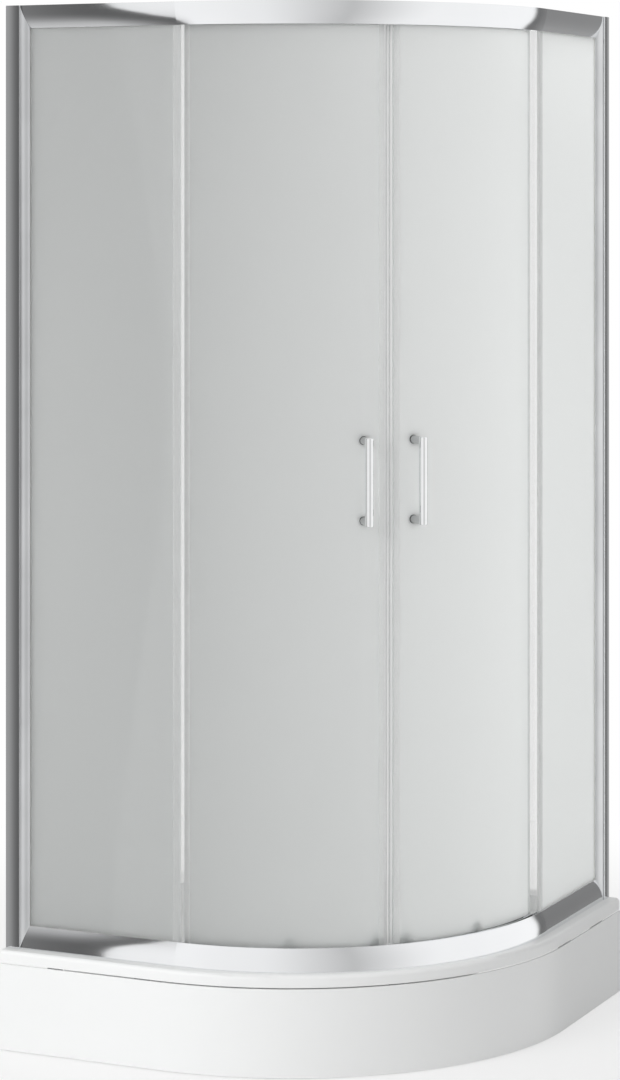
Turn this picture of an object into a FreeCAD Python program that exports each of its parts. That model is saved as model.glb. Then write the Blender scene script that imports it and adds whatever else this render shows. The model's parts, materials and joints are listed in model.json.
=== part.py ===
import FreeCAD, Part
import math
import os

# Quadrant shower enclosure on a shallow tray.  Millimetres, Z up.
# The room corner is at -X, +Y.  The left side of the frame runs along X, the right side along Y,
# and the two are mirror images in the vertical plane through the room corner.
# "Depth" is measured inwards from the outermost line of the rails, "run" along the left side
# from the wall, and "turn" is the angle round the curve's centre from the end of the left side.

V = FreeCAD.Vector
UP = V(0, 0, 1)

# ---- driving dimensions -------------------------------------------------------------------
tray_side = 900.0              # length of the tray along each wall
tray_height = 185.0            # floor to the top of the rim
tray_curve_radius = 570.0      # quarter round of the tray's front
enclosure_height = 1750.0      # underside of the bottom rail to the top of the top rail
straight_run = 350.0           # wall to the start of the rails' curve
rail_setback = 26.0            # edge of the tray to the rails' outermost line

# rails
rail_height = 42.0
rail_lip_depth = 10.5          # how far the face has come in where it meets the glass
rail_wall = 2.0
ledge_below_top = 24.0         # top of the trolley ledges
track_half_width = 12.5
slot_half_width = 4.8
groove_wall_height = 14.0
guide_radius_depth = 45.0      # depth of the guide groove's middle
screw_boss_width = 5.0
screw_boss_drop = 20.0

# glass
glass_thickness = 5.0
fixed_glass_depth = 14.0       # depth of the fixed panes' outer face
door_glass_depth = 33.0        # depth of the doors' outer face
fixed_glass_cover = 15.0       # how far a fixed pane sits in a rail
stile_glass_cover = 10.0
block_start = 30.0             # stile to the block under a fixed pane
block_length = 60.0
gasket_edge = 1.5

# wall profiles and stiles
wall_profile_width = 28.0
wall_profile_proud = 2.0       # outer face ahead of the rails' outermost line
wall_profile_wall = 1.6
stile_face_width = 16.0
stile_fit_gap = 0.4
wall_profile_crown = 1.2       # how far its face bulges between its edges
wall_hole_diameter = 5.0
wall_hole_count = 4
wall_hole_end_distance = 75.0  # from an end of the profile to the first hole
adjuster_count = 3
adjuster_end_distance = 95.0
screw_hole = 3.6
screw_play = 0.1               # between a screw and its hole, all round
screw_length = 34.0
screw_head_diameter = 7.0
screw_head_thickness = 2.4

# doors
door_travel = 26.5             # degrees each door turns about the curve's centre
front_trolley_turn = 41.5
rear_trolley_turn = 22.5
meeting_gap = 0.6              # between the two magnetic strips
magnet_strip_width = 8.0
magnet_strip_depth = 8.2
seal_wall = 1.2
seal_play = 0.1                # between a door's edge strip and its glass
seal_grip = 12.0
fixed_seal_grip = 14.0
fixed_edge_run = 354.0         # where the fixed pane ends
fin_gap = 0.4
carrier_wall = 1.5
carrier_base = 2.0
top_carrier_height = 12.0
bottom_carrier_height = 20.0
carrier_below_ledge = 3.0
bottom_carrier_lift = 18.0     # bottom of the carrier above the rail's underside

# trolleys
wheel_diameter = 18.0
wheel_width = 4.2
wheel_inner_offset = 4.6       # trolley middle to a wheel's inner face
wheel_lift = 0.3
axle_diameter = 4.0
running_fit = 0.05
trolley_length = 26.0
trolley_width = 7.0
trolley_block_height = 12.0
pendant_diameter = 6.0
pendant_flange_length = 14.0
pendant_flange_height = 2.0
axle_head_diameter = 7.0
axle_head_thickness = 1.0

# bottom guides
guide_roller_diameter = 8.0
guide_roller_height = 6.0
guide_roller_lift = 6.0        # roller's bottom above the rail's underside
guide_pin_diameter = 5.0
guide_neck_diameter = 3.0
guide_housing_length = 20.0
guide_housing_width = 11.0
guide_housing_height = 26.0
guide_travel = 10.0
guide_knob_diameter = 11.0
guide_knob_height = 9.0
guide_clearance = 0.3
guide_foot_thickness = 1.5

# handles
handle_turn = 39.3
handle_height = 160.0
handle_middle = 1066.0         # above the floor
handle_standoff = 38.0         # glass to the middle of the bar
handle_bar_diameter = 16.0
handle_end_round = 1.5
handle_post_diameter = 14.5
handle_ring_diameter = 16.0
handle_ring_thickness = 1.6
handle_ring_play = 0.1         # inner ring to the hollow face of the glass
handle_bolt_diameter = 6.0
handle_hole_diameter = 9.0
handle_nut_diameter = 20.0
handle_nut_thickness = 7.0
handle_nut_floor = 1.0         # closed end of a nut

# tray
tray_wall = 5.0
lip_height = 22.5
lip_inset = 2.5                # the lip stands this far inside the skirt's face
lip_round = 8.0
rim_front = 88.0
rim_wall_side = 50.0
bowl_depth = 55.0
bowl_draft = 14.0
bowl_corner = 60.0
bowl_floor_round = 12.0
skirt_thickness = 4.0
skirt_gap = 2.0
skirt_lift = 2.0
skirt_flange = 14.0
clip_length = 24.0
clip_wall_distance = 110.0     # wall to the middle of the first clip
clip_curve_distance = 40.0     # middle of the second clip to the start of the curve
clip_reach = 14.0
clip_drop = 18.0
clip_play = 0.2                # the curved clip to the lip and the skirt
board_thickness = 16.0
board_side = 560.0
frame_cross_distance = 347.0   # from the board's edges at the room corner to where the tubes cross
frame_tube = 25.0
frame_tube_wall = 2.0
leg_diameter = 10.0
pad_diameter = 50.0
pad_height = 12.0
leg_inset = 30.0

# drain
drain_offset = 190.0           # from the middle of the tray towards the room corner, along X and Y
drain_hole_diameter = 90.0
drain_flange_diameter = 112.0
drain_flange_thickness = 3.0
drain_body_diameter = 84.0
drain_body_height = 66.0
drain_wall = 3.0
drain_cover_diameter = 100.0
drain_cover_height = 8.0
drain_outlet_diameter = 40.0
drain_outlet_length = 50.0
drain_outlet_lift = 25.0
drain_collar_diameter = 50.0
drain_collar_length = 8.0      # from the side of the trap
drain_cover_clearance = 0.3
drain_cover_lift = 3.0         # gap for the water under the cover's edge
cover_foot_diameter = 6.0
cover_foot_drop = 6.0
cover_rest_diameter = 8.0

# ---- places worked out from the sizes ------------------------------------------------------
half_side = tray_side / 2
wall_line = -half_side
rail_line = -half_side + rail_setback
rail_radius = tray_side - rail_setback - straight_run
centre_x = wall_line + straight_run
centre_y = rail_line + rail_radius
rail_bottom = tray_height
rail_top = tray_height + enclosure_height

fixed_glass_back = fixed_glass_depth + glass_thickness
door_glass_back = door_glass_depth + glass_thickness
seal_front = door_glass_depth - seal_play - seal_wall
seal_back = door_glass_back + seal_play + seal_wall
track_depth = door_glass_depth + glass_thickness / 2
track_front = track_depth - track_half_width
track_back = track_depth + track_half_width
track_wall_front = track_front - rail_wall
top_rail_back = track_back + rail_wall
ledge_top = rail_top - ledge_below_top
ledge_bottom = ledge_top - rail_wall
rail_face_radius = (rail_height ** 2 + rail_lip_depth ** 2) / (2 * rail_lip_depth)

fixed_glass_bottom = rail_bottom + rail_height - fixed_glass_cover
fixed_glass_top = rail_top - rail_height + fixed_glass_cover
door_glass_bottom = rail_bottom + bottom_carrier_lift + carrier_base
top_carrier_top = ledge_bottom - carrier_below_ledge
door_glass_top = top_carrier_top - carrier_base

trolley_play = (rail_radius - track_depth) * (1 - math.cos(math.radians(door_travel - rear_trolley_turn)))
guide_groove_half = guide_roller_diameter / 2 + trolley_play + 2 * guide_clearance
groove_front = guide_radius_depth - guide_groove_half
groove_back = guide_radius_depth + guide_groove_half
bottom_rail_back = groove_back + rail_wall

lip_bottom = tray_height - lip_height
skirt_top = lip_bottom - skirt_gap
bowl_floor = tray_height - bowl_depth
board_top = bowl_floor - tray_wall
board_bottom = board_top - board_thickness
frame_bottom = board_bottom - frame_tube


# ---- small helpers -------------------------------------------------------------------------
def box(x0, x1, y0, y1, z0, z1):
    return Part.makeBox(x1 - x0, y1 - y0, z1 - z0, V(x0, y0, z0))


def rod(diameter, start, direction, length):
    return Part.makeCylinder(diameter / 2, length, start, direction)


def outline_face(points, curves=()):
    """Closed face through points; curves maps the index of a point to the middle of an arc from it."""
    middles = dict(curves)
    edges = []
    for i, start in enumerate(points):
        end = points[(i + 1) % len(points)]
        if i in middles:
            edges.append(Part.Arc(start, middles[i], end).toShape())
        else:
            edges.append(Part.LineSegment(start, end).toShape())
    return Part.Face(Part.Wire(edges))


def on_side(run, depth, z=0.0):
    """A point of the left side, or of its straight extension."""
    return V(wall_line + run, rail_line + depth, z)


def on_curve(turn, depth, z=0.0):
    angle = math.radians(turn)
    radius = rail_radius - depth
    return V(centre_x + radius * math.sin(angle), centre_y - radius * math.cos(angle), z)


def turned(shape, turn):
    """Move a piece made at the start of the curve to its place round it."""
    moved = shape.copy()
    moved.rotate(V(centre_x, centre_y, 0), UP, turn)
    return moved


def mirrored(shape):
    """The right-hand piece of a left-hand one."""
    return shape.mirror(V(0, 0, 0), V(1, 1, 0))


def arc_degrees(length, depth):
    return math.degrees(length / (rail_radius - depth))


def curved_strip(turn0, turn1, depth0, depth1, z0, z1):
    """A strip that follows the curve between two turns and two depths."""
    middle = (turn0 + turn1) / 2
    points = [on_curve(turn0, depth0, z0), on_curve(turn1, depth0, z0),
              on_curve(turn1, depth1, z0), on_curve(turn0, depth1, z0)]
    curves = {0: on_curve(middle, depth0, z0), 2: on_curve(middle, depth1, z0)}
    return outline_face(points, curves).extrude(V(0, 0, z1 - z0))


def side_strip(run0, run1, depth0, depth1, z0, z1):
    low = on_side(run0, depth0, z0)
    high = on_side(run1, depth1, z1)
    return box(low.x, high.x, low.y, high.y, low.z, high.z)


def joined(shapes):
    result = shapes[0]
    for shape in shapes[1:]:
        result = result.fuse(shape)
    return result.removeSplitter()


def group(shapes):
    return Part.makeCompound(shapes)


# ---- rails ---------------------------------------------------------------------------------
def face_depth(share):
    """Depth of the rail's rounded face at a share of its height from the outermost edge."""
    return rail_face_radius - math.sqrt(rail_face_radius ** 2 - (rail_height * share) ** 2)


def rail_section(pairs, sign, base):
    """Section face at the start of the curve; pairs are depth and height from the outer edge."""
    points = [V(centre_x, rail_line + depth, base + sign * height) for depth, height in pairs]
    half = rail_height / 2
    middle = face_depth(0.5)
    curves = {0: V(centre_x, rail_line + middle, base + sign * half),
              2: V(centre_x, rail_line + middle + rail_wall, base + sign * half)}
    return outline_face(points, curves)


def along_rails(section):
    """Carry a section along the left side, round the curve and along the right side."""
    start_run = wall_profile_width
    left = section.extrude(V(start_run - straight_run, 0, 0))
    bend = section.revolve(V(centre_x, centre_y, 0), UP, 90)
    return joined([left, bend, mirrored(left)])


def mitre_wedge(sign, base, inside):
    """The corner between a rail and a stile, split by the mitre plane."""
    run0 = wall_profile_width
    run1 = run0 + stile_face_width
    corner_outer = on_side(run0, -1, base)
    corner_inner = on_side(run1, -1, base + sign * rail_height)
    third = on_side(run0, -1, base + sign * rail_height) if inside else on_side(run1, -1, base)
    face = outline_face([corner_outer, corner_inner, third])
    return face.extrude(V(0, track_front + 1, 0))


def screw_axis(sign, base):
    return on_side(wall_profile_width, fixed_glass_depth + screw_boss_width / 2,
                   base + sign * (rail_wall + screw_boss_drop - screw_boss_width / 2))


def make_top_rail():
    lip = rail_lip_depth
    boss = fixed_glass_depth
    pairs = [(0, 0), (lip, rail_height), (lip + rail_wall, rail_height), (rail_wall, rail_wall),
             (boss, rail_wall), (boss, rail_wall + screw_boss_drop),
             (boss + screw_boss_width, rail_wall + screw_boss_drop), (boss + screw_boss_width, rail_wall),
             (track_wall_front, rail_wall), (track_wall_front, rail_height - rail_wall),
             (track_front, rail_height - rail_wall), (track_front, ledge_below_top + rail_wall),
             (track_depth - slot_half_width, ledge_below_top + rail_wall),
             (track_depth - slot_half_width, ledge_below_top), (track_front, ledge_below_top),
             (track_front, rail_wall), (track_back, rail_wall), (track_back, ledge_below_top),
             (track_depth + slot_half_width, ledge_below_top),
             (track_depth + slot_half_width, ledge_below_top + rail_wall),
             (top_rail_back, ledge_below_top + rail_wall), (top_rail_back, 0)]
    rail = along_rails(rail_section(pairs, -1, rail_top))
    return finish_rail(rail, -1, rail_top)


def make_bottom_rail():
    lip = rail_lip_depth
    boss = fixed_glass_depth
    pairs = [(0, 0), (lip, rail_height), (lip + rail_wall, rail_height), (rail_wall, rail_wall),
             (boss, rail_wall), (boss, rail_wall + screw_boss_drop),
             (boss + screw_boss_width, rail_wall + screw_boss_drop), (boss + screw_boss_width, rail_wall),
             (track_wall_front, rail_wall), (track_wall_front, rail_height - rail_wall),
             (track_front, rail_height - rail_wall), (track_front, rail_wall),
             (groove_front - rail_wall, rail_wall), (groove_front - rail_wall, groove_wall_height),
             (groove_front, groove_wall_height), (groove_front, rail_wall),
             (groove_back, rail_wall), (groove_back, groove_wall_height),
             (bottom_rail_back, groove_wall_height), (bottom_rail_back, 0)]
    rail = along_rails(rail_section(pairs, 1, rail_bottom))
    return finish_rail(rail, 1, rail_bottom)


def finish_rail(rail, sign, base):
    """Mitre both ends and bore the holes for the frame screws."""
    wedge = mitre_wedge(sign, base, True)
    hole = rod(screw_hole, screw_axis(sign, base), V(1, 0, 0), screw_length + screw_hole)
    for cutter in (wedge, mirrored(wedge), hole, mirrored(hole)):
        rail = rail.cut(cutter)
    return rail


# ---- stiles, wall profiles and fixed panes -----------------------------------------------------
stile_glass_edge = wall_profile_width + stile_face_width - stile_glass_cover
stile_run = wall_profile_wall + 2 * stile_fit_gap + rail_wall
stile_back = track_front


def make_left_stile():
    run0 = wall_profile_width
    run1 = run0 + stile_face_width
    web = run0 + rail_wall
    share = rail_wall / stile_face_width
    inner_mid = (1 + share) / 2
    points = [on_side(stile_run, 0), on_side(run0, 0), on_side(run1, rail_lip_depth),
              on_side(run1, rail_lip_depth + rail_wall), on_side(web, rail_wall + face_depth(share)),
              on_side(web, track_wall_front), on_side(run1 - rail_wall, track_wall_front),
              on_side(run1 - rail_wall, stile_back), on_side(stile_run, stile_back)]
    curves = {1: on_side(run0 + stile_face_width / 2, face_depth(0.5)),
              3: on_side(run0 + stile_face_width * inner_mid, rail_wall + face_depth(inner_mid))}
    face = outline_face(points, curves)
    stile = face.extrude(V(0, 0, enclosure_height))
    stile.translate(V(0, 0, rail_bottom))
    hollow = side_strip(stile_run + rail_wall, run0, rail_wall, track_wall_front, rail_bottom, rail_top)
    stile = stile.cut(hollow)
    for sign, base in ((-1, rail_top), (1, rail_bottom)):
        stile = stile.cut(mitre_wedge(sign, base, False))
        stile = stile.cut(rod(screw_hole, screw_axis(sign, base), V(1, 0, 0), rail_wall))
    for place in adjuster_places():
        stile = stile.cut(rod(screw_hole, place - V(0, 3 * rail_wall, 0), V(0, 1, 0), 3 * rail_wall))
    return stile


def adjuster_places():
    """Where the screws that hold a stile in its wall profile enter the stile's back."""
    run = (stile_run + wall_profile_width) / 2
    heights = spread_heights(adjuster_count, adjuster_end_distance)
    return [on_side(run, stile_back, height) for height in heights]


def spread_heights(count, end_distance):
    """Heights spread evenly between the two end distances of an upright profile."""
    first = rail_bottom + end_distance
    pitch = (enclosure_height - 2 * end_distance) / (count - 1)
    return [first + i * pitch for i in range(count)]


def make_left_wall_profile():
    wall = wall_profile_wall
    front = -wall_profile_proud
    back = stile_back + stile_fit_gap
    points = [on_side(0, front), on_side(wall_profile_width, front),
              on_side(wall_profile_width, back + wall), on_side(0, back + wall)]
    crown = {0: on_side(wall_profile_width / 2, front - wall_profile_crown)}
    outside = outline_face(points, crown).extrude(V(0, 0, enclosure_height))
    outside.translate(V(0, 0, rail_bottom))
    inside = side_strip(wall, wall_profile_width + 1, front + wall, back, rail_bottom - 1, rail_top + 1)
    profile = outside.cut(inside)
    middle = (front + back + wall) / 2
    for height in spread_heights(wall_hole_count, wall_hole_end_distance):
        profile = profile.cut(rod(wall_hole_diameter, on_side(-1, middle, height), V(1, 0, 0), wall + 2))
    for place in adjuster_places():
        profile = profile.cut(rod(screw_hole, place, V(0, 1, 0), stile_fit_gap + wall + 1))
    return profile


def make_adjuster_screws():
    screws = []
    for place in adjuster_places():
        seat = stile_fit_gap + wall_profile_wall
        tip = place - V(0, 2.5 * rail_wall, 0)
        shank = rod(screw_hole - 2 * screw_play, tip, V(0, 1, 0), 2.5 * rail_wall + seat)
        head = rod(screw_head_diameter, place + V(0, seat, 0), V(0, 1, 0), screw_head_thickness)
        head = head.makeFillet(screw_head_thickness / 2, [head.Edges[0]])
        screw = shank.fuse(head)
        screws += [screw, mirrored(screw)]
    return group(screws)


def make_frame_screws():
    screws = []
    for sign, base in ((-1, rail_top), (1, rail_bottom)):
        start = screw_axis(sign, base)
        shank = rod(screw_hole - 2 * screw_play, start, V(1, 0, 0), screw_length)
        head_start = start - V(screw_head_thickness, 0, 0)
        head = rod(screw_head_diameter, head_start, V(1, 0, 0), screw_head_thickness)
        screw = shank.fuse(head)
        screws += [screw, mirrored(screw)]
    return group(screws)


def make_left_fixed_glass():
    return side_strip(stile_glass_edge, fixed_edge_run, fixed_glass_depth, fixed_glass_back,
                      fixed_glass_bottom, fixed_glass_top)


def make_left_glazing_gasket():
    """Soft strips that hold the fixed pane in both rails and in the stile."""
    front0 = rail_lip_depth + rail_wall
    back1 = track_wall_front
    run0 = stile_glass_edge
    run1 = wall_profile_width + stile_face_width
    strips = []
    strip_height = fixed_glass_cover - 2 * rail_wall
    for z0 in (rail_bottom + rail_height - strip_height, rail_top - rail_height):
        strips.append(side_strip(run1, fixed_edge_run - fixed_seal_grip, fixed_glass_back, back1,
                                 z0, z0 + strip_height))
    for z0 in (rail_bottom + rail_height - gasket_edge, rail_top - rail_height):
        strips.append(side_strip(run1, straight_run, front0, fixed_glass_depth, z0, z0 + gasket_edge))
    middle0 = rail_bottom + rail_height
    middle1 = rail_top - rail_height
    strips.append(side_strip(run1 - gasket_edge, run1, front0, fixed_glass_depth, middle0, middle1))
    strips.append(side_strip(run0, run1 - rail_wall, fixed_glass_back, back1, middle0, middle1))
    block_run = run1 + block_start
    setting_block = side_strip(block_run, block_run + block_length, fixed_glass_depth, fixed_glass_back,
                               rail_bottom + rail_wall + screw_boss_drop, fixed_glass_bottom)
    strips.append(setting_block)
    return group(strips)


def make_left_fixed_seal():
    """Clear strip on the fixed pane's free edge, with a fin towards the door."""
    z0 = rail_bottom + rail_height
    z1 = rail_top - rail_height
    start = fixed_edge_run - fixed_seal_grip
    nose = fixed_edge_run + seal_wall
    fin_tip = seal_front - fin_gap
    front = side_strip(start, nose, fixed_glass_depth - seal_wall, fixed_glass_depth, z0, z1)
    back = side_strip(start, nose, fixed_glass_back, fixed_glass_back + seal_wall, z0, z1)
    end = side_strip(fixed_edge_run, nose, fixed_glass_depth, fixed_glass_back, z0, z1)
    fin = side_strip(fixed_edge_run, nose, fixed_glass_back + seal_wall, fin_tip, z0, z1)
    return joined([front, back, end, fin])


# ---- doors ---------------------------------------------------------------------------------
rear_edge_run = fixed_edge_run - fin_gap - straight_run
rear_edge_turn = arc_degrees(rear_edge_run, door_glass_depth)
front_edge_turn = 45 - arc_degrees(meeting_gap / 2 + magnet_strip_width, door_glass_depth)
trolley_turns = {"front": front_trolley_turn, "rear": rear_trolley_turn}
handle_post_offset = (handle_height - handle_post_diameter) / 2
handle_nut_depth = door_glass_back + handle_ring_play + handle_ring_thickness


def door_normal_point(depth, z):
    return V(centre_x, rail_line + depth, z)


def handle_places():
    return [handle_middle - handle_post_offset, handle_middle + handle_post_offset]


def make_left_door_glass():
    pane = curved_strip(rear_edge_turn, front_edge_turn, door_glass_depth, door_glass_back,
                        door_glass_bottom, door_glass_top)
    for height in handle_places():
        hole = rod(handle_hole_diameter, door_normal_point(door_glass_depth - 1, height),
                   V(0, 1, 0), glass_thickness + 2)
        pane = pane.cut(turned(hole, handle_turn))
    return pane


def carrier(z0, z1, glass_z0, glass_z1):
    """A channel along the top or bottom edge of a door's glass."""
    outside = curved_strip(rear_edge_turn, front_edge_turn, door_glass_depth - carrier_wall,
                           door_glass_back + carrier_wall, z0, z1)
    inside = curved_strip(rear_edge_turn - 1, front_edge_turn + 1, door_glass_depth, door_glass_back,
                          glass_z0, glass_z1)
    return outside.cut(inside)


def make_left_top_carrier():
    return carrier(top_carrier_top - top_carrier_height, top_carrier_top,
                   top_carrier_top - top_carrier_height - 1, door_glass_top)


def make_left_bottom_carrier():
    bottom = rail_bottom + bottom_carrier_lift
    return carrier(bottom, bottom + bottom_carrier_height,
                   door_glass_bottom, bottom + bottom_carrier_height + 1)


def seal_heights():
    """The strips on a door's edges run between its two carriers."""
    return (rail_bottom + bottom_carrier_lift + bottom_carrier_height, top_carrier_top - top_carrier_height)


def edge_grips(turn0, turn1, z0, z1):
    """The two thin strips that hold an edge seal on both faces of a door's glass."""
    front = curved_strip(turn0, turn1, seal_front, door_glass_depth - seal_play, z0, z1)
    back = curved_strip(turn0, turn1, door_glass_back + seal_play, seal_back, z0, z1)
    return [front, back]


def make_left_magnetic_seal():
    z0, z1 = seal_heights()
    grip_turn = front_edge_turn - arc_degrees(seal_grip, door_glass_depth)
    grips = edge_grips(grip_turn, front_edge_turn, z0, z1)
    half_depth = magnet_strip_depth / 2
    meet_turn = 45 - arc_degrees(meeting_gap / 2, track_depth)
    head = curved_strip(front_edge_turn, meet_turn, track_depth - half_depth, track_depth + half_depth,
                        z0, z1)
    return joined(grips + [head])


def make_left_rear_seal():
    """Clear strip on the door's rear edge; its fin stops behind the fixed pane's fin."""
    z0, z1 = seal_heights()
    grip_turn = rear_edge_turn + arc_degrees(seal_grip, door_glass_depth)
    nose_turn = rear_edge_turn - arc_degrees(seal_wall, door_glass_depth)
    fin_tip = fixed_glass_back + seal_wall + 2 * fin_gap
    grips = edge_grips(nose_turn, grip_turn, z0, z1)
    end = curved_strip(nose_turn, rear_edge_turn, seal_front, seal_back, z0, z1)
    fin_z0 = rail_bottom + rail_height
    fin_z1 = rail_top - rail_height
    fin = curved_strip(nose_turn, rear_edge_turn, fin_tip, seal_front, fin_z0, fin_z1)
    return joined(grips + [end, fin])


def make_left_handle_bar():
    """Upright bar on two posts, with a stud from each post through the glass."""
    bar_depth = door_glass_depth - handle_standoff
    bar = rod(handle_bar_diameter, door_normal_point(bar_depth, handle_middle - handle_height / 2), UP,
              handle_height)
    bar = bar.makeFillet(handle_end_round, [bar.Edges[0], bar.Edges[2]])
    pieces = [bar]
    post_end = door_glass_depth - handle_ring_thickness
    stud_end = handle_nut_depth + handle_nut_thickness - handle_nut_floor
    for height in handle_places():
        start = door_normal_point(bar_depth, height)
        pieces.append(rod(handle_post_diameter, start, V(0, 1, 0), post_end - bar_depth))
        pieces.append(rod(handle_bolt_diameter, start, V(0, 1, 0), stud_end - bar_depth))
    return turned(joined(pieces), handle_turn)


def make_left_handle_rings():
    """Rubber washers on both faces of the glass."""
    rings = []
    for height in handle_places():
        for depth in (door_glass_depth - handle_ring_thickness, door_glass_back + handle_ring_play):
            start = door_normal_point(depth, height)
            ring = rod(handle_ring_diameter, start, V(0, 1, 0), handle_ring_thickness)
            rings.append(turned(ring.cut(rod(handle_bolt_diameter, start, V(0, 1, 0),
                                             handle_ring_thickness)), handle_turn))
    return group(rings)


def make_left_handle_nuts():
    nuts = []
    for height in handle_places():
        start = door_normal_point(handle_nut_depth, height)
        nut = rod(handle_nut_diameter, start, V(0, 1, 0), handle_nut_thickness)
        rim = [edge for edge in nut.Edges if abs(edge.CenterOfMass.y - start.y - handle_nut_thickness) < 0.1]
        nut = nut.makeFillet(handle_nut_thickness / 3, rim)
        nuts.append(turned(nut.cut(rod(handle_bolt_diameter, start, V(0, 1, 0),
                                       handle_nut_thickness - handle_nut_floor)), handle_turn))
    return group(nuts)


# ---- trolleys ------------------------------------------------------------------------------
wheel_centre = ledge_top + wheel_lift + wheel_diameter / 2
wheel_outer_offset = wheel_inner_offset + wheel_width
axle_half = wheel_outer_offset + 2 * running_fit


def make_left_trolleys():
    """Two trolley frames: block, axle and the pendant that carries the door."""
    y = rail_line + track_depth
    half = trolley_length / 2
    block_bottom = wheel_centre - trolley_block_height / 2
    block = box(centre_x - half, centre_x + half, y - trolley_width / 2, y + trolley_width / 2,
                block_bottom, block_bottom + trolley_block_height)
    ends = [edge for edge in block.Edges if abs(edge.tangentAt(0).y) > 0.5]
    block = block.makeFillet(trolley_block_height / 3, ends)
    axle = rod(axle_diameter, V(centre_x, y - axle_half, wheel_centre), V(0, 1, 0), 2 * axle_half)
    pieces = [block, axle]
    for start in (-axle_half - axle_head_thickness, axle_half):
        pieces.append(rod(axle_head_diameter, V(centre_x, y + start, wheel_centre), V(0, 1, 0),
                          axle_head_thickness))
    pieces.append(rod(pendant_diameter, V(centre_x, y, top_carrier_top), UP, wheel_centre - top_carrier_top))
    flange_half = pendant_flange_length / 2
    carrier_half = glass_thickness / 2 + carrier_wall
    pieces.append(box(centre_x - flange_half, centre_x + flange_half, y - carrier_half, y + carrier_half,
                      top_carrier_top, top_carrier_top + pendant_flange_height))
    trolley = joined(pieces)
    return group([turned(trolley, trolley_turns[place]) for place in ("front", "rear")])


def make_left_wheels(place):
    """The pair of wheels on one trolley's axle."""
    y = rail_line + track_depth
    bore = axle_diameter + 2 * running_fit
    wheels = []
    for start in (-wheel_outer_offset, wheel_inner_offset):
        base = V(centre_x, y + start, wheel_centre)
        wheel = rod(wheel_diameter, base, V(0, 1, 0), wheel_width)
        wheel = wheel.makeChamfer(wheel_width / 8, wheel.Edges[0:1] + wheel.Edges[2:3])
        wheels.append(turned(wheel.cut(rod(bore, base, V(0, 1, 0), wheel_width)), trolley_turns[place]))
    return group(wheels)


# ---- bottom guides -------------------------------------------------------------------------
guide_housing_bottom = (rail_bottom + guide_roller_lift + guide_roller_height + guide_travel
                        + 2 * guide_clearance)
guide_housing_top = guide_housing_bottom + guide_housing_height
guide_bore = guide_pin_diameter + 2 * running_fit


def make_left_guide_housings():
    """Blocks on the inner face of the bottom carrier, bored for the release pins."""
    y = rail_line + guide_radius_depth
    half = guide_housing_length / 2
    front = rail_line + door_glass_back + carrier_wall
    block = box(centre_x - half, centre_x + half, front, y + guide_housing_width / 2,
                guide_housing_bottom, guide_housing_top)
    corners = [edge for edge in block.Edges
               if abs(edge.tangentAt(0).z) > 0.5 and edge.CenterOfMass.y > y]
    block = block.makeFillet(guide_housing_width / 4, corners)
    block = block.cut(rod(guide_bore, V(centre_x, y, guide_housing_bottom), UP, guide_housing_height))
    placed = []
    for place in ("front", "rear"):
        housing = turned(block, trolley_turns[place])
        relief = curved_strip(0, 45, -1, door_glass_back + carrier_wall,
                              guide_housing_bottom, guide_housing_top)
        placed.append(housing.cut(relief))
    return group(placed)


def make_left_guide_pin(place):
    """Release pin: knob on top, rod through the housing, neck and foot that hold the roller."""
    y = rail_line + guide_radius_depth
    roller_bottom = rail_bottom + guide_roller_lift
    roller_top = roller_bottom + guide_roller_height
    shoulder = roller_top + running_fit
    knob_bottom = guide_housing_top + guide_clearance
    pieces = [rod(guide_pin_diameter, V(centre_x, y, roller_bottom - running_fit - guide_foot_thickness), UP,
                  guide_foot_thickness),
              rod(guide_neck_diameter, V(centre_x, y, roller_bottom - running_fit), UP,
                  guide_roller_height + 2 * running_fit),
              rod(guide_pin_diameter, V(centre_x, y, shoulder), UP, knob_bottom - shoulder)]
    knob = rod(guide_knob_diameter, V(centre_x, y, knob_bottom), UP, guide_knob_height)
    knob = knob.makeFillet(guide_knob_height / 6, [knob.Edges[0], knob.Edges[2]])
    pieces.append(knob)
    return turned(joined(pieces), trolley_turns[place])


def make_left_guide_roller(place):
    y = rail_line + guide_radius_depth
    base = V(centre_x, y, rail_bottom + guide_roller_lift)
    bore = guide_neck_diameter + 2 * running_fit
    roller = rod(guide_roller_diameter, base, UP, guide_roller_height)
    return turned(roller.cut(rod(bore, base, UP, guide_roller_height)), trolley_turns[place])


# ---- stops in the top track ----------------------------------------------------------------
track_radius = rail_radius - track_depth
stop_half_length = (track_radius * math.radians(45 - front_trolley_turn) - trolley_length / 2
                    - 2 * guide_clearance)
stop_side_gap = 2.5
open_stop_length = 12.0


def make_rail_stops():
    """Rubber blocks: one between the doors and one behind each rear trolley's last place."""
    y = rail_line + track_depth
    half_width = track_half_width - stop_side_gap
    z0 = ledge_top
    z1 = rail_top - rail_wall
    centre_stop = box(centre_x - stop_half_length, centre_x + stop_half_length,
                      y - half_width, y + half_width, z0, z1)
    last_turn = math.radians(rear_trolley_turn - door_travel)
    last_middle = track_radius * math.sin(last_turn)
    reach = trolley_length / 2 * math.cos(last_turn) + trolley_width / 2 * math.sin(abs(last_turn))
    stop_end = centre_x + last_middle - reach - 2 * guide_clearance
    open_stop = box(stop_end - open_stop_length, stop_end, y - half_width, y + half_width, z0, z1)
    return group([turned(centre_stop, 45), open_stop, mirrored(open_stop)])


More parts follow.
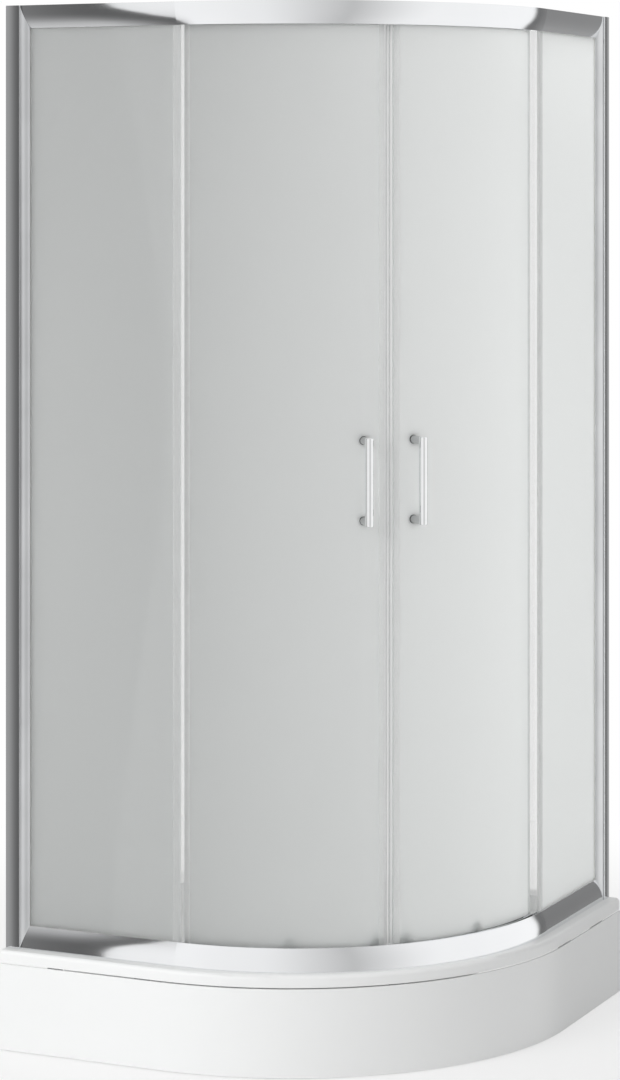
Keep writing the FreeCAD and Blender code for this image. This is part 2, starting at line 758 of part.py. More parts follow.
# ---- tray ----------------------------------------------------------------------------------
def tray_outline(front, wall_side, radius, corner, z):
    """Plan of the tray: two wall sides, two front sides and the quarter round between them.
    front and wall_side are the insets from the tray's edge, corner rounds the three square corners."""
    x0 = -half_side + wall_side
    x1 = half_side - front
    y0 = -half_side + front
    y1 = half_side - wall_side
    arc_middle = radius * (1 - math.sqrt(0.5))
    points = [V(x1 - radius, y0, z), V(x1, y0 + radius, z)]
    curves = {0: V(x1 - arc_middle, y0 + arc_middle, z)}
    if corner == 0:
        points += [V(x1, y1, z), V(x0, y1, z), V(x0, y0, z)]
        return outline_face(points, curves)
    bulge = corner * (1 - math.sqrt(0.5))
    points += [V(x1, y1 - corner, z), V(x1 - corner, y1, z),
               V(x0 + corner, y1, z), V(x0, y1 - corner, z),
               V(x0, y0 + corner, z), V(x0 + corner, y0, z)]
    curves[2] = V(x1 - bulge, y1 - bulge, z)
    curves[4] = V(x0 + bulge, y1 - bulge, z)
    curves[6] = V(x0 + bulge, y0 + bulge, z)
    return outline_face(points, curves)


def lip_plate(inset, z0, z1):
    face = tray_outline(inset, 0, tray_curve_radius - inset, 0, z0)
    return face.extrude(V(0, 0, z1 - z0))


def bowl(grow, floor, top):
    """A tapered bowl; grow makes it larger all round."""
    front = rim_front - grow
    side = rim_wall_side - grow
    radius = tray_curve_radius - rim_front + grow
    upper = tray_outline(front, side, radius, bowl_corner + grow, top)
    lower = tray_outline(front + bowl_draft, side + bowl_draft, radius - bowl_draft,
                         bowl_corner + grow - bowl_draft, floor)
    solid = Part.makeLoft([lower.OuterWire, upper.OuterWire], True, True)
    floor_edges = [edge for edge in solid.Edges if abs(edge.BoundBox.ZMax - floor) < 0.01]
    return solid.makeFillet(bowl_floor_round + grow, floor_edges)


def drain_centre(z):
    return V(-drain_offset, drain_offset, z)


def make_tray_basin():
    rim = lip_plate(lip_inset, lip_bottom, tray_height)
    front_edges = []
    for edge in rim.Edges:
        centre = edge.CenterOfMass
        at_top = abs(edge.BoundBox.ZMin - tray_height) < 0.01
        at_wall = centre.x < -half_side + 1 or centre.y > half_side - 1
        if at_top and not at_wall:
            front_edges.append(edge)
    rim = rim.makeFillet(lip_round, front_edges)
    below = tray_outline(lip_inset + tray_wall, tray_wall, tray_curve_radius - lip_inset - tray_wall, 0,
                         lip_bottom - 1)
    rim = rim.cut(below.extrude(V(0, 0, lip_height + 1 - tray_wall)))
    shell = rim.fuse(bowl(tray_wall, bowl_floor - tray_wall, tray_height - tray_wall))
    shell = shell.cut(bowl(0, bowl_floor, tray_height))
    shell = shell.cut(rod(drain_hole_diameter, drain_centre(0), UP, tray_height))
    return shell.removeSplitter()


def make_tray_skirt():
    """Front panel under the lip, with a flange turned in along its foot."""
    outer = lip_plate(0, skirt_lift, skirt_top)
    inner = tray_outline(skirt_thickness, -1, tray_curve_radius - skirt_thickness, 0,
                         skirt_lift + skirt_thickness).extrude(V(0, 0, tray_height))
    opening = tray_outline(skirt_flange, -1, tray_curve_radius - skirt_flange, 0,
                           skirt_lift - 1).extrude(V(0, 0, tray_height))
    return outer.cut(inner).cut(opening).removeSplitter()


tray_centre_offset = half_side - tray_curve_radius
tray_straight = tray_side - tray_curve_radius
clip_runs = [clip_wall_distance, tray_straight - clip_curve_distance]


def make_skirt_clips():
    """Clips that hang the skirt from the rim."""
    top = tray_height - tray_wall
    lip_back = -half_side + lip_inset + tray_wall
    skirt_back = -half_side + skirt_thickness

    def clip(x):
        upper = box(x - clip_length / 2, x + clip_length / 2, lip_back, lip_back + clip_reach,
                    skirt_top, top)
        lower = box(x - clip_length / 2, x + clip_length / 2, skirt_back, lip_back + clip_reach,
                    skirt_top - clip_drop, skirt_top)
        return upper.fuse(lower).removeSplitter()

    clips = []
    for run in clip_runs:
        piece = clip(-half_side + run)
        clips += [piece, mirrored(piece)]
    middle = clip(tray_centre_offset)
    middle.rotate(V(tray_centre_offset, -tray_centre_offset, 0), UP, 45)
    curve_centre = V(tray_centre_offset, -tray_centre_offset, 0)
    skirt_radius = tray_curve_radius - skirt_thickness - clip_play
    lip_radius = tray_curve_radius - lip_inset - tray_wall - clip_play
    keep = rod(2 * skirt_radius, curve_centre, UP, tray_height)
    lip_keep = rod(2 * lip_radius, curve_centre + V(0, 0, skirt_top), UP, tray_height)
    lower_half = middle.common(keep).common(box(-half_side, half_side, -half_side, half_side, 0, skirt_top))
    clips.append(lower_half.fuse(middle.common(lip_keep)).removeSplitter())
    return group(clips)


def make_tray_board():
    """Stiffening board under the bowl, cut away round the drain."""
    x0 = -half_side + rim_wall_side + bowl_draft + tray_wall
    y1 = -x0
    board = box(x0, x0 + board_side, y1 - board_side, y1, board_bottom, board_top)
    return board.cut(rod(drain_flange_diameter, drain_centre(board_bottom - 1), UP, board_thickness + 2))


def leg_places():
    """Four legs near the ends of the frame's tubes and one where they cross."""
    x0 = -half_side + rim_wall_side + bowl_draft + tray_wall
    cross = x0 + frame_cross_distance
    near = x0 + leg_inset
    far = x0 + board_side - leg_inset
    return [(cross, -cross), (near, -cross), (far, -cross), (cross, -near), (cross, -far)]


def make_tray_frame():
    """Two steel tubes, crossing under the board."""
    x0 = -half_side + rim_wall_side + bowl_draft + tray_wall
    cross = leg_places()[0][0]
    half = frame_tube / 2
    inner = half - frame_tube_wall
    far = x0 + board_side
    low = frame_bottom + frame_tube_wall
    high = board_bottom - frame_tube_wall
    along_x = box(x0, far, -cross - half, -cross + half, frame_bottom, board_bottom)
    along_y = box(cross - half, cross + half, -far, -x0, frame_bottom, board_bottom)
    frame = along_x.fuse(along_y)
    frame = frame.cut(box(x0, far, -cross - inner, -cross + inner, low, high))
    frame = frame.cut(box(cross - inner, cross + inner, -far, -x0, low, high))
    for x, y in leg_places():
        frame = frame.cut(rod(leg_diameter, V(x, y, frame_bottom), UP, frame_tube_wall))
    return frame.removeSplitter()


def make_tray_legs():
    legs = []
    for x, y in leg_places():
        leg = rod(leg_diameter, V(x, y, pad_height), UP, frame_bottom + frame_tube / 2 - pad_height)
        nut_height = leg_diameter * 0.8
        corners = [V(x + leg_diameter * math.cos(math.radians(60 * i)),
                     y + leg_diameter * math.sin(math.radians(60 * i)), frame_bottom - nut_height)
                   for i in range(6)]
        nut = outline_face(corners).extrude(V(0, 0, nut_height))
        legs.append(leg.fuse(nut).removeSplitter())
    return group(legs)


def make_tray_foot_pads():
    pads = []
    for x, y in leg_places():
        pad = rod(pad_diameter, V(x, y, 0), UP, pad_height)
        rim = [edge for edge in pad.Edges if abs(edge.BoundBox.ZMin - pad_height) < 0.01]
        pads.append(pad.makeFillet(pad_height / 3, rim))
    return group(pads)


# ---- drain ---------------------------------------------------------------------------------
def make_drain_body():
    """Trap under the tray with a spigot towards the left wall."""
    top = bowl_floor - tray_wall
    bottom = top - drain_body_height
    body = rod(drain_body_diameter, drain_centre(bottom), UP, drain_body_height)
    collar = rod(drain_flange_diameter - 2, drain_centre(top - drain_wall), UP, drain_wall)
    outlet_start = drain_centre(bottom + drain_outlet_lift)
    shoulder = drain_body_diameter / 2 + drain_collar_length
    neck = rod(drain_outlet_diameter, outlet_start, V(-1, 0, 0), shoulder + drain_outlet_length)
    neck_collar = rod(drain_collar_diameter, outlet_start, V(-1, 0, 0), shoulder)
    body = body.fuse(collar).fuse(neck).fuse(neck_collar)
    inside = rod(drain_body_diameter - 2 * drain_wall, drain_centre(bottom + drain_wall), UP,
                 drain_body_height)
    pipe = rod(drain_outlet_diameter - 2 * drain_wall, outlet_start, V(-1, 0, 0),
               shoulder + drain_outlet_length)
    return body.cut(inside).cut(pipe).removeSplitter()


def make_drain_flange():
    """Ring seated on the bowl's floor, with a sleeve down into the trap."""
    ring = rod(drain_flange_diameter, drain_centre(bowl_floor), UP, drain_flange_thickness)
    top_edge = [edge for edge in ring.Edges
                if abs(edge.BoundBox.ZMin - bowl_floor - drain_flange_thickness) < 0.01]
    ring = ring.makeChamfer(drain_flange_thickness / 2, top_edge)
    sleeve_outer = drain_body_diameter - 2 * drain_wall
    sleeve_bottom = bowl_floor - tray_wall - 2 * drain_wall
    sleeve = rod(sleeve_outer, drain_centre(sleeve_bottom), UP, bowl_floor - sleeve_bottom)
    flange = ring.fuse(sleeve)
    bore = rod(sleeve_outer - 2 * drain_wall, drain_centre(sleeve_bottom - 1), UP, tray_height)
    return flange.cut(bore).removeSplitter()


def make_drain_cover():
    """Domed cover with feet that locate in the flange's bore."""
    seat = bowl_floor + drain_flange_thickness
    radius = drain_cover_diameter / 2
    dome_radius = (radius ** 2 + drain_cover_height ** 2) / (2 * drain_cover_height)
    underside = seat + drain_cover_lift
    dome = Part.makeSphere(dome_radius, drain_centre(underside + drain_cover_height - dome_radius))
    slab = rod(drain_cover_diameter, drain_centre(underside), UP, 2 * drain_cover_height)
    cover = dome.common(slab)
    into_dome = drain_cover_height / 4
    flange_bore = drain_body_diameter / 2 - 2 * drain_wall
    foot_ring = flange_bore - drain_cover_clearance - cover_foot_diameter / 2
    for i in range(3):
        direction = V(math.cos(math.radians(120 * i + 30)), math.sin(math.radians(120 * i + 30)), 0)
        foot = drain_centre(seat - cover_foot_drop) + direction * foot_ring
        cover = cover.fuse(rod(cover_foot_diameter, foot, UP, cover_foot_drop + drain_cover_lift + into_dome))
        rest = drain_centre(seat) + direction * (flange_bore + drain_cover_clearance)
        cover = cover.fuse(rod(cover_rest_diameter, rest, UP, drain_cover_lift + into_dome))
    return cover.removeSplitter()


# ---- writing -------------------------------------------------------------------------------
def both_sides(name, shape):
    return {"left_" + name: shape, "right_" + name: mirrored(shape)}


def all_parts():
    parts = {
        "tray_basin": make_tray_basin(),
        "tray_skirt": make_tray_skirt(),
        "skirt_clips": make_skirt_clips(),
        "tray_board": make_tray_board(),
        "tray_frame": make_tray_frame(),
        "tray_legs": make_tray_legs(),
        "tray_foot_pads": make_tray_foot_pads(),
        "drain_body": make_drain_body(),
        "drain_flange": make_drain_flange(),
        "drain_cover": make_drain_cover(),
        "top_rail": make_top_rail(),
        "bottom_rail": make_bottom_rail(),
        "frame_screws": make_frame_screws(),
        "adjuster_screws": make_adjuster_screws(),
        "rail_stops": make_rail_stops(),
    }
    parts.update(both_sides("wall_profile", make_left_wall_profile()))
    parts.update(both_sides("stile", make_left_stile()))
    parts.update(both_sides("fixed_glass", make_left_fixed_glass()))
    parts.update(both_sides("glazing_gasket", make_left_glazing_gasket()))
    parts.update(both_sides("fixed_seal", make_left_fixed_seal()))
    parts.update(both_sides("door_glass", make_left_door_glass()))
    parts.update(both_sides("top_carrier", make_left_top_carrier()))
    parts.update(both_sides("bottom_carrier", make_left_bottom_carrier()))
    parts.update(both_sides("magnetic_seal", make_left_magnetic_seal()))
    parts.update(both_sides("rear_seal", make_left_rear_seal()))
    parts.update(both_sides("handle_bar", make_left_handle_bar()))
    parts.update(both_sides("handle_rings", make_left_handle_rings()))
    parts.update(both_sides("handle_nuts", make_left_handle_nuts()))
    parts.update(both_sides("trolleys", make_left_trolleys()))
    parts.update(both_sides("guide_housings", make_left_guide_housings()))
    for place in ("front", "rear"):
        parts.update(both_sides(place + "_wheels", make_left_wheels(place)))
        parts.update(both_sides(place + "_guide_pin", make_left_guide_pin(place)))
        parts.update(both_sides(place + "_guide_roller", make_left_guide_roller(place)))
    return parts


def main():
    os.makedirs("parts", exist_ok=True)
    for name, shape in sorted(all_parts().items()):
        shape.exportStep(os.path.join("parts", name + ".step"))
        bounds = shape.BoundBox
        print(f"{name}: {len(shape.Solids)} solids, {shape.Volume / 1000:.1f} cm3, valid {shape.isValid()}, "
              f"x {bounds.XMin:.1f} {bounds.XMax:.1f} y {bounds.YMin:.1f} {bounds.YMax:.1f} "
              f"z {bounds.ZMin:.1f} {bounds.ZMax:.1f}")


main()
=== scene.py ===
# %% [markdown]
# # A quarter-round shower enclosure
# This lesson dresses a shower enclosure that was drawn as solids first: rails, glass, seals,
# running gear and tray. The solids are already at their real size and place. Here each surface
# gets its finish, and the small pieces that need more form than a solid gives are modelled anew.
# Blender counts in metres, with Z up. The pieces' own sizes are written in millimetres. The room
# corner is at -X, +Y, and the two sides of the enclosure are mirror images in the vertical plane
# through that corner.

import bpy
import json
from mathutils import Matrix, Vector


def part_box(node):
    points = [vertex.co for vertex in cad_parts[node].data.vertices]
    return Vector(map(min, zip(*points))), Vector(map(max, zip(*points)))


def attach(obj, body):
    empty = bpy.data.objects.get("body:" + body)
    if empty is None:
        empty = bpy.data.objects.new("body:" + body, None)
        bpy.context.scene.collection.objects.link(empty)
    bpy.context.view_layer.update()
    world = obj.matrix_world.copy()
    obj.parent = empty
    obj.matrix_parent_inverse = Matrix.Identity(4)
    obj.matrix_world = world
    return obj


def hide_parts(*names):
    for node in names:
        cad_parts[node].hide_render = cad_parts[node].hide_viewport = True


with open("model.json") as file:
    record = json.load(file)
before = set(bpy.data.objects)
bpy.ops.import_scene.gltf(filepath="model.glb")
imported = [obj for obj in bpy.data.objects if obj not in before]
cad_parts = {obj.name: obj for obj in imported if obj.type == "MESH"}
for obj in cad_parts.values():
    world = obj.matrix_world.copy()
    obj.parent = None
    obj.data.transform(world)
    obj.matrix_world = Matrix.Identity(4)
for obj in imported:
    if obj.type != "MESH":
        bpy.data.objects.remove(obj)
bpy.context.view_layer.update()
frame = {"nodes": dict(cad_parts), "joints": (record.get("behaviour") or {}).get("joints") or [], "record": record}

# %% [markdown]
# ## Places that the solids give
# The curved doors turn about one upright line, the centre of their curve. Its place is read from
# the doors' joint, and everything that sits on a door is put at a turn about it.

# %% Find the curve's centre
import json
import math

import bpy
from mathutils import Matrix, Vector

MM = 0.001
RAIL_RADIUS = 524 * MM       # from the curve's centre to the rails' outermost line
nodes = frame["nodes"]
joints = {joint["name"]: joint for joint in frame["joints"]}
curve_x, curve_y = joints["left_door_slide"]["pos_m"][:2]
print("curve centre", round(curve_x, 4), round(curve_y, 4), "among", len(nodes), "solids")


# %% [markdown]
# ## Tools for modelling by hand
# Every new piece starts from a primitive and is shaped with the same operators that a modeller
# would click. An operator acts on all that is selected, so the tools below deselect first and
# then select by place.

# %% Select a piece and clean its mesh
MERGE_DISTANCE = 0.01 * MM


def select_only(piece):
    bpy.ops.object.select_all(action="DESELECT")
    piece.select_set(True)
    bpy.context.view_layer.objects.active = piece


def close_up(piece):
    """Merge doubles and turn all faces outwards."""
    select_only(piece)
    bpy.ops.object.mode_set(mode="EDIT")
    bpy.ops.mesh.select_all(action="SELECT")
    bpy.ops.mesh.remove_doubles(threshold=MERGE_DISTANCE)
    bpy.ops.mesh.normals_make_consistent(inside=False)
    bpy.ops.object.mode_set(mode="OBJECT")


# %% Draw an outline
def draw_outline(name, points):
    """Draw a closed flat face. A small plane is merged to one vertex, which is pushed from point
    to point, and the loop is filled."""
    bpy.ops.object.select_all(action="DESELECT")
    bpy.ops.mesh.primitive_plane_add(size=1 * MM)
    piece = bpy.context.object
    piece.name = name
    bpy.ops.object.mode_set(mode="EDIT")
    bpy.ops.mesh.select_mode(type="VERT")
    bpy.ops.mesh.select_all(action="SELECT")
    bpy.ops.mesh.merge(type="CENTER")
    bpy.ops.transform.translate(value=points[0])
    for start, end in zip(points, points[1:]):
        step = Vector(end) - Vector(start)
        bpy.ops.mesh.extrude_vertices_move(TRANSFORM_OT_translate={"value": step})
    bpy.ops.mesh.select_all(action="SELECT")
    bpy.ops.mesh.edge_face_add()
    bpy.ops.object.mode_set(mode="OBJECT")
    return piece


# %% Extrude it or spin it
def push_up(piece, height):
    """Extrude a drawn face straight up into a closed bar."""
    select_only(piece)
    bpy.ops.object.mode_set(mode="EDIT")
    bpy.ops.mesh.select_all(action="SELECT")
    bpy.ops.mesh.extrude_region_move(TRANSFORM_OT_translate={"value": (0, 0, height)})
    bpy.ops.object.mode_set(mode="OBJECT")
    close_up(piece)
    return piece


def spin_round(piece, centre, axis, steps):
    """Turn the outline of a drawn face a whole turn about an axis, as on a lathe."""
    select_only(piece)
    bpy.ops.object.mode_set(mode="EDIT")
    bpy.ops.mesh.select_all(action="SELECT")
    bpy.ops.mesh.delete(type="ONLY_FACE")
    bpy.ops.mesh.select_all(action="SELECT")
    bpy.ops.mesh.spin(steps=steps, angle=math.tau, center=centre, axis=axis)
    bpy.ops.object.mode_set(mode="OBJECT")
    close_up(piece)
    return piece


# %% Round its edges
def smooth_below(piece, angle):
    """Shade smooth across the edges that bend by less than an angle in degrees."""
    select_only(piece)
    bpy.ops.object.shade_smooth_by_angle(angle=math.radians(angle))
    return piece


def soften(piece, width, segments=2, angle=30):
    """Round the edges with an applied bevel and shade the piece smooth."""
    select_only(piece)
    bevel = piece.modifiers.new("edges", "BEVEL")
    bevel.width = width
    bevel.segments = segments
    bevel.limit_method = "ANGLE"
    bevel.angle_limit = math.radians(angle)
    bpy.ops.object.modifier_apply(modifier=bevel.name)
    return smooth_below(piece, angle)


# %% Join, move and copy pieces
MIRROR = Matrix(((0, -1, 0, 0), (-1, 0, 0, 0), (0, 0, 1, 0), (0, 0, 0, 1)))     # left side to right


def join(pieces, name):
    bpy.ops.object.select_all(action="DESELECT")
    for piece in pieces:
        piece.select_set(True)
    bpy.context.view_layer.objects.active = pieces[0]
    if len(pieces) > 1:
        bpy.ops.object.join()
    pieces[0].name = name
    return pieces[0]


def moved(piece, matrix):
    """Move a piece by its mesh, so that its object stays at the origin."""
    piece.data.transform(matrix @ piece.matrix_world)
    piece.matrix_world = Matrix.Identity(4)
    return piece


def copied(piece, name, matrix):
    twin = piece.copy()
    twin.data = piece.data.copy()
    twin.name = name
    bpy.context.collection.objects.link(twin)
    return moved(twin, matrix)


def mirrored(piece, name):
    """A copy on the other side. Mirroring turns a mesh inside out, so its faces are put right."""
    twin = copied(piece, name, MIRROR)
    close_up(twin)
    return twin


def about_curve(turn):
    """Turn about the curve's centre, in degrees, from the end of the left side."""
    centre = Matrix.Translation((curve_x, curve_y, 0))
    return centre @ Matrix.Rotation(math.radians(turn), 4, "Z") @ centre.inverted()


# %% Hand a piece over
def with_material(piece, *materials):
    piece.data.materials.clear()
    for material in materials:
        piece.data.materials.append(material)
    return piece


def dress(piece, body, slot, *replaced):
    """Give a finished piece its body and hide the solids that it stands for. The slot is not used."""
    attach(piece, body)
    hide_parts(*replaced)
    print("made", piece.name, "with", len(piece.data.polygons), "faces")


# %% [markdown]
# ## Tools for finishes
# A finish is a small network of shader nodes. Writing it as Python expressions keeps it readable:
# a Value stands for a socket, and adding or multiplying Values adds the Math node that does it.

# %% A socket as a value
class Value:
    """A socket in a shader tree that can be used in an expression."""

    def __init__(self, tree, socket):
        self.tree = tree
        self.socket = socket

    def math(self, operation, *others, swapped=False):
        node = self.tree.nodes.new("ShaderNodeMath")
        node.operation = operation
        operands = [self, *others]
        if swapped:
            operands.reverse()
        for place, operand in enumerate(operands):
            connect(self.tree, operand, node.inputs[place])
        return Value(self.tree, node.outputs[0])

    def __add__(self, other):
        return self.math("ADD", other)

    __radd__ = __add__

    def __sub__(self, other):
        return self.math("SUBTRACT", other)

    def __rsub__(self, other):
        return self.math("SUBTRACT", other, swapped=True)

    def __mul__(self, other):
        return self.math("MULTIPLY", other)

    __rmul__ = __mul__

    def __truediv__(self, other):
        return self.math("DIVIDE", other)

    def __pow__(self, other):
        return self.math("POWER", other)

    def above(self, other):
        return self.math("MAXIMUM", other)


def connect(tree, value, socket):
    if isinstance(value, Value):
        tree.links.new(value.socket, socket)
    else:
        socket.default_value = value


# %% A network of nodes
class Network:
    """A shader tree, of a material or of the world, with one method that adds any node."""

    def __init__(self, tree):
        self.tree = tree

    def node(self, kind, settings=None, inputs=None, output=0):
        """Add any node: settings first, then values or links of its sockets."""
        node = self.tree.nodes.new(kind)
        for setting, choice in (settings or {}).items():
            setattr(node, setting, choice)
        for socket, value in (inputs or {}).items():
            connect(self.tree, value, node.inputs[socket])
        return Value(self.tree, node.outputs[output])

    def split(self, vector):
        """The three parts of a vector or a colour, as Values."""
        first = self.node("ShaderNodeSeparateXYZ", inputs={0: vector})
        return [Value(self.tree, part) for part in first.socket.node.outputs]

    def ramp(self, value, low, high, to_low=0.0, to_high=1.0):
        """Map a value smoothly from one range to another."""
        return self.node("ShaderNodeMapRange", {"interpolation_type": "SMOOTHSTEP"},
                         {0: value, 1: low, 2: high, 3: to_low, 4: to_high})

    def blend(self, factor, first, second):
        """Mix two colours by a value."""
        return self.node("ShaderNodeMix", {"data_type": "RGBA"},
                         {"Factor": factor, 6: first, 7: second}, output=2)


# %% A finish
class Finish(Network):
    """A material with one Principled shader. Its constants are set on the shader's own sockets."""

    def __init__(self, name, **constants):
        self.material = bpy.data.materials.new(name)
        self.material.use_nodes = True
        super().__init__(self.material.node_tree)
        self.shader = self.tree.nodes["Principled BSDF"]
        self.surface = self.tree.nodes["Material Output"].inputs["Surface"]
        for socket, number in constants.items():
            self.shader.inputs[socket.replace("_", " ")].default_value = number
        self.place = self.node("ShaderNodeTexCoord", output="Object")
        print("finish", name)

    def stretched(self, x, y, z):
        """The surface point with each axis scaled, for patterns that run along one direction."""
        return self.node("ShaderNodeMapping", inputs={"Vector": self.place, "Scale": (x, y, z)})

    def noise(self, where, scale, detail=3.0):
        return self.node("ShaderNodeTexNoise",
                         inputs={"Vector": where, "Scale": scale, "Detail": detail})

    def show(self, socket, value):
        connect(self.tree, value, self.shader.inputs[socket])

    def mix_in(self, other, factor):
        """Mix another shader over what the surface shows so far."""
        so_far = Value(self.tree, self.surface.links[0].from_socket)
        mix = self.node("ShaderNodeMixShader", inputs={0: factor, 1: so_far, 2: other})
        connect(self.tree, mix, self.surface)

    def raise_by(self, height, strength, distance):
        """Bump: small relief that is too fine to model."""
        self.show("Normal", self.node("ShaderNodeBump", inputs={
            "Strength": strength, "Distance": distance, "Height": height}))


# %% [markdown]
# ## Bright metal
# The rails, stiles and wall profiles are aluminium extrusions. Rails and wall profiles are
# polished and bright anodised: they mirror the room, softened a little. The stiles are satin, so
# they mirror less and look greyer. All have faint die lines along their length. The lines follow
# the run of each profile, so the noise is stretched along the height on the uprights and along
# the bend on the rails, where the distance from the curve's centre takes the place of X and Y.

# %% Finish the metal
BRIGHT = (0.9, 0.91, 0.92, 1)
BRIGHT_SHADE = (0.82, 0.83, 0.85, 1)
SATIN_SHADE = (0.5, 0.51, 0.52, 1)
SATIN_HAZE = 0.25
DIE_LINES = 900              # how many cells of noise to a metre across the profile


def polished(name, along_height, haze=0.0, shade=BRIGHT_SHADE):
    finish = Finish(name, Metallic=1.0)
    if along_height:
        lines = finish.noise(finish.stretched(DIE_LINES, DIE_LINES, 1.5), 1.0)
    else:
        x, y, z = finish.split(finish.place)
        across_x = (x - curve_x).above(0)
        across_y = (curve_y - y).above(0)
        radius = (across_x * across_x + across_y * across_y) ** 0.5
        across = {0: radius * DIE_LINES, 1: z * DIE_LINES, 2: 0.0}
        lines = finish.noise(finish.node("ShaderNodeCombineXYZ", inputs=across), 1.0)
    smears = finish.noise(finish.place, 9.0)
    finish.show("Base Color", finish.blend(smears * 0.6 + haze, BRIGHT, shade))
    finish.show("Roughness", 0.055 + haze + lines * 0.04 + smears * 0.03)
    finish.raise_by(lines, 0.06, 0.02 * MM)
    return finish.material


metal_upright = polished("bright_metal_upright", True)
metal_rail = polished("bright_metal_rail", False)
metal_stile = polished("satin_metal_stile", True, SATIN_HAZE, SATIN_SHADE)


# %% [markdown]
# The handles' bars and cap nuts and the drain are chromed, which makes a sharp, bright mirror.
# The handles' posts are satin nickel, darker and softer. Zinc-plated steel is duller still, and
# mottled by its spangle. Metal without any change over its surface looks like a drawing, so each
# has a little haze.

# %% Finish chrome, nickel and zinc
def plated(name, dark, light, dullness):
    finish = Finish(name, Metallic=1.0)
    haze = finish.noise(finish.place, 60.0)
    finish.show("Base Color", finish.blend(haze, dark, light))
    finish.show("Roughness", dullness + haze * 0.04)
    return finish.material


def zinc_plate():
    finish = Finish("zinc_plate", Metallic=1.0)
    spangle = finish.node("ShaderNodeTexVoronoi", {"feature": "F1"},
                          {"Vector": finish.place, "Scale": 220.0}, output="Color")
    clouds = finish.noise(finish.place, 35.0)
    tint = finish.blend(clouds, (0.5, 0.52, 0.54, 1), (0.66, 0.66, 0.62, 1))
    finish.show("Base Color", finish.blend(0.12, tint, spangle))
    finish.show("Roughness", 0.3 + clouds * 0.18)
    finish.raise_by(clouds, 0.1, 0.05 * MM)
    return finish.material


chrome = plated("chrome_plate", (0.86, 0.87, 0.88, 1), (0.93, 0.935, 0.94, 1), 0.02)
nickel = plated("satin_nickel", (0.5, 0.505, 0.51, 1), (0.6, 0.605, 0.61, 1), 0.18)
zinc = zinc_plate()

# %% [markdown]
# ## Frosted glass
# The panes are etched inside and smooth outside. Light is scattered on its way through, so the
# glass looks milky and pale with a trace of green, and what is behind it doesn't show. A rough
# refracting shader could do this, but it renders slowly and with much noise. So most of the
# surface is a translucent shader, which passes the light of the other side on in all directions.
# The rest is a pale body with a clear coat over it, for the smooth outer face.

# %% Finish the glass
def frosted():
    finish = Finish("frosted_glass", IOR=1.5, Roughness=0.3, Coat_Roughness=0.02, Coat_IOR=2.4)
    grain = finish.noise(finish.place, 1400.0, 2.0)
    clouds = finish.noise(finish.stretched(1, 1, 0.35), 3.0)
    body = finish.blend(clouds, (0.815, 0.83, 0.825, 1), (0.845, 0.86, 0.855, 1))
    finish.show("Base Color", body)
    finish.show("Coat Weight", 0.75 + grain * 0.1)
    finish.raise_by(grain, 0.12, 0.02 * MM)
    milk = finish.node("ShaderNodeBsdfTranslucent", inputs={"Color": (0.96, 0.968, 0.964, 1)})
    finish.mix_in(milk, 0.8 + grain * 0.06)
    return finish.material


glass = frosted()

# %% [markdown]
# ## Seals and guide plastic
# The edge seals are clear plastic strips with faint lines along them from the extruder. Clear
# plastic takes its tone from what is behind it, so Alpha lets most of that through and leaves a
# pale film. The blocks and pins of the bottom guides are milky: light passes into them, so they
# hardly show behind the glass. The magnetic strips inside the front seals are white.

# %% Finish the seals and guides
def soft_plastic(name, tint, shade, roughness, milkiness, solid):
    finish = Finish(name, IOR=1.46, Alpha=solid)
    pulls = finish.noise(finish.stretched(400, 400, 1.2), 1.0)
    finish.show("Base Color", finish.blend(finish.ramp(pulls, 0.35, 0.65), tint, shade))
    finish.show("Roughness", roughness + pulls * 0.12)
    finish.raise_by(pulls, 0.1, 0.03 * MM)
    milk = finish.node("ShaderNodeBsdfTranslucent", inputs={"Color": (0.95, 0.96, 0.96, 1)})
    finish.mix_in(milk, milkiness)
    return finish.material


seal_clear = soft_plastic("clear_seal", (0.9, 0.91, 0.91, 1), (0.99, 0.99, 0.99, 1),
                          roughness=0.3, milkiness=0.0, solid=0.15)
milky_plastic = soft_plastic("milky_plastic", (0.88, 0.89, 0.88, 1), (0.95, 0.955, 0.95, 1),
                             roughness=0.3, milkiness=0.8, solid=1.0)
magnet_white = soft_plastic("magnet_white", (0.88, 0.89, 0.89, 1), (0.94, 0.94, 0.94, 1),
                            roughness=0.3, milkiness=0.1, solid=1.0)

# %% [markdown]
# ## Acrylic, plastics, rubber and board
# The tray is white sanitary acrylic: even in colour, with a soft shine, and never quite flat, so
# its reflections waver a little. Rubber and moulded plastics have a fine grain. Under the tray is
# a particle board, with chips of several browns.

# %% Finish the tray
def acrylic():
    finish = Finish("white_acrylic", IOR=1.49, Coat_Roughness=0.25)
    waves = finish.noise(finish.place, 7.0, 2.0)
    clouds = finish.noise(finish.place, 2.2)
    finish.show("Base Color", finish.blend(clouds, (0.89, 0.9, 0.9, 1), (0.915, 0.92, 0.915, 1)))
    finish.show("Roughness", 0.34 + clouds * 0.06)
    finish.show("Coat Weight", 0.15 + clouds * 0.05)
    finish.raise_by(waves, 0.05, 1.5 * MM)
    return finish.material


def particle_board():
    finish = Finish("particle_board", IOR=1.45)
    chips = finish.node("ShaderNodeTexVoronoi", {"feature": "F1"},
                        {"Vector": finish.stretched(1, 1.4, 1), "Scale": 190.0}, output="Color")
    shade = finish.split(chips)[0]
    dust = finish.noise(finish.place, 900.0)
    wood = finish.blend(shade, (0.36, 0.25, 0.14, 1), (0.67, 0.53, 0.35, 1))
    finish.show("Base Color", finish.blend(dust * 0.5, wood, (0.74, 0.62, 0.44, 1)))
    finish.show("Roughness", 0.75 + dust * 0.2)
    finish.raise_by(shade, 0.3, 0.15 * MM)
    return finish.material


white_acrylic = acrylic()
board = particle_board()


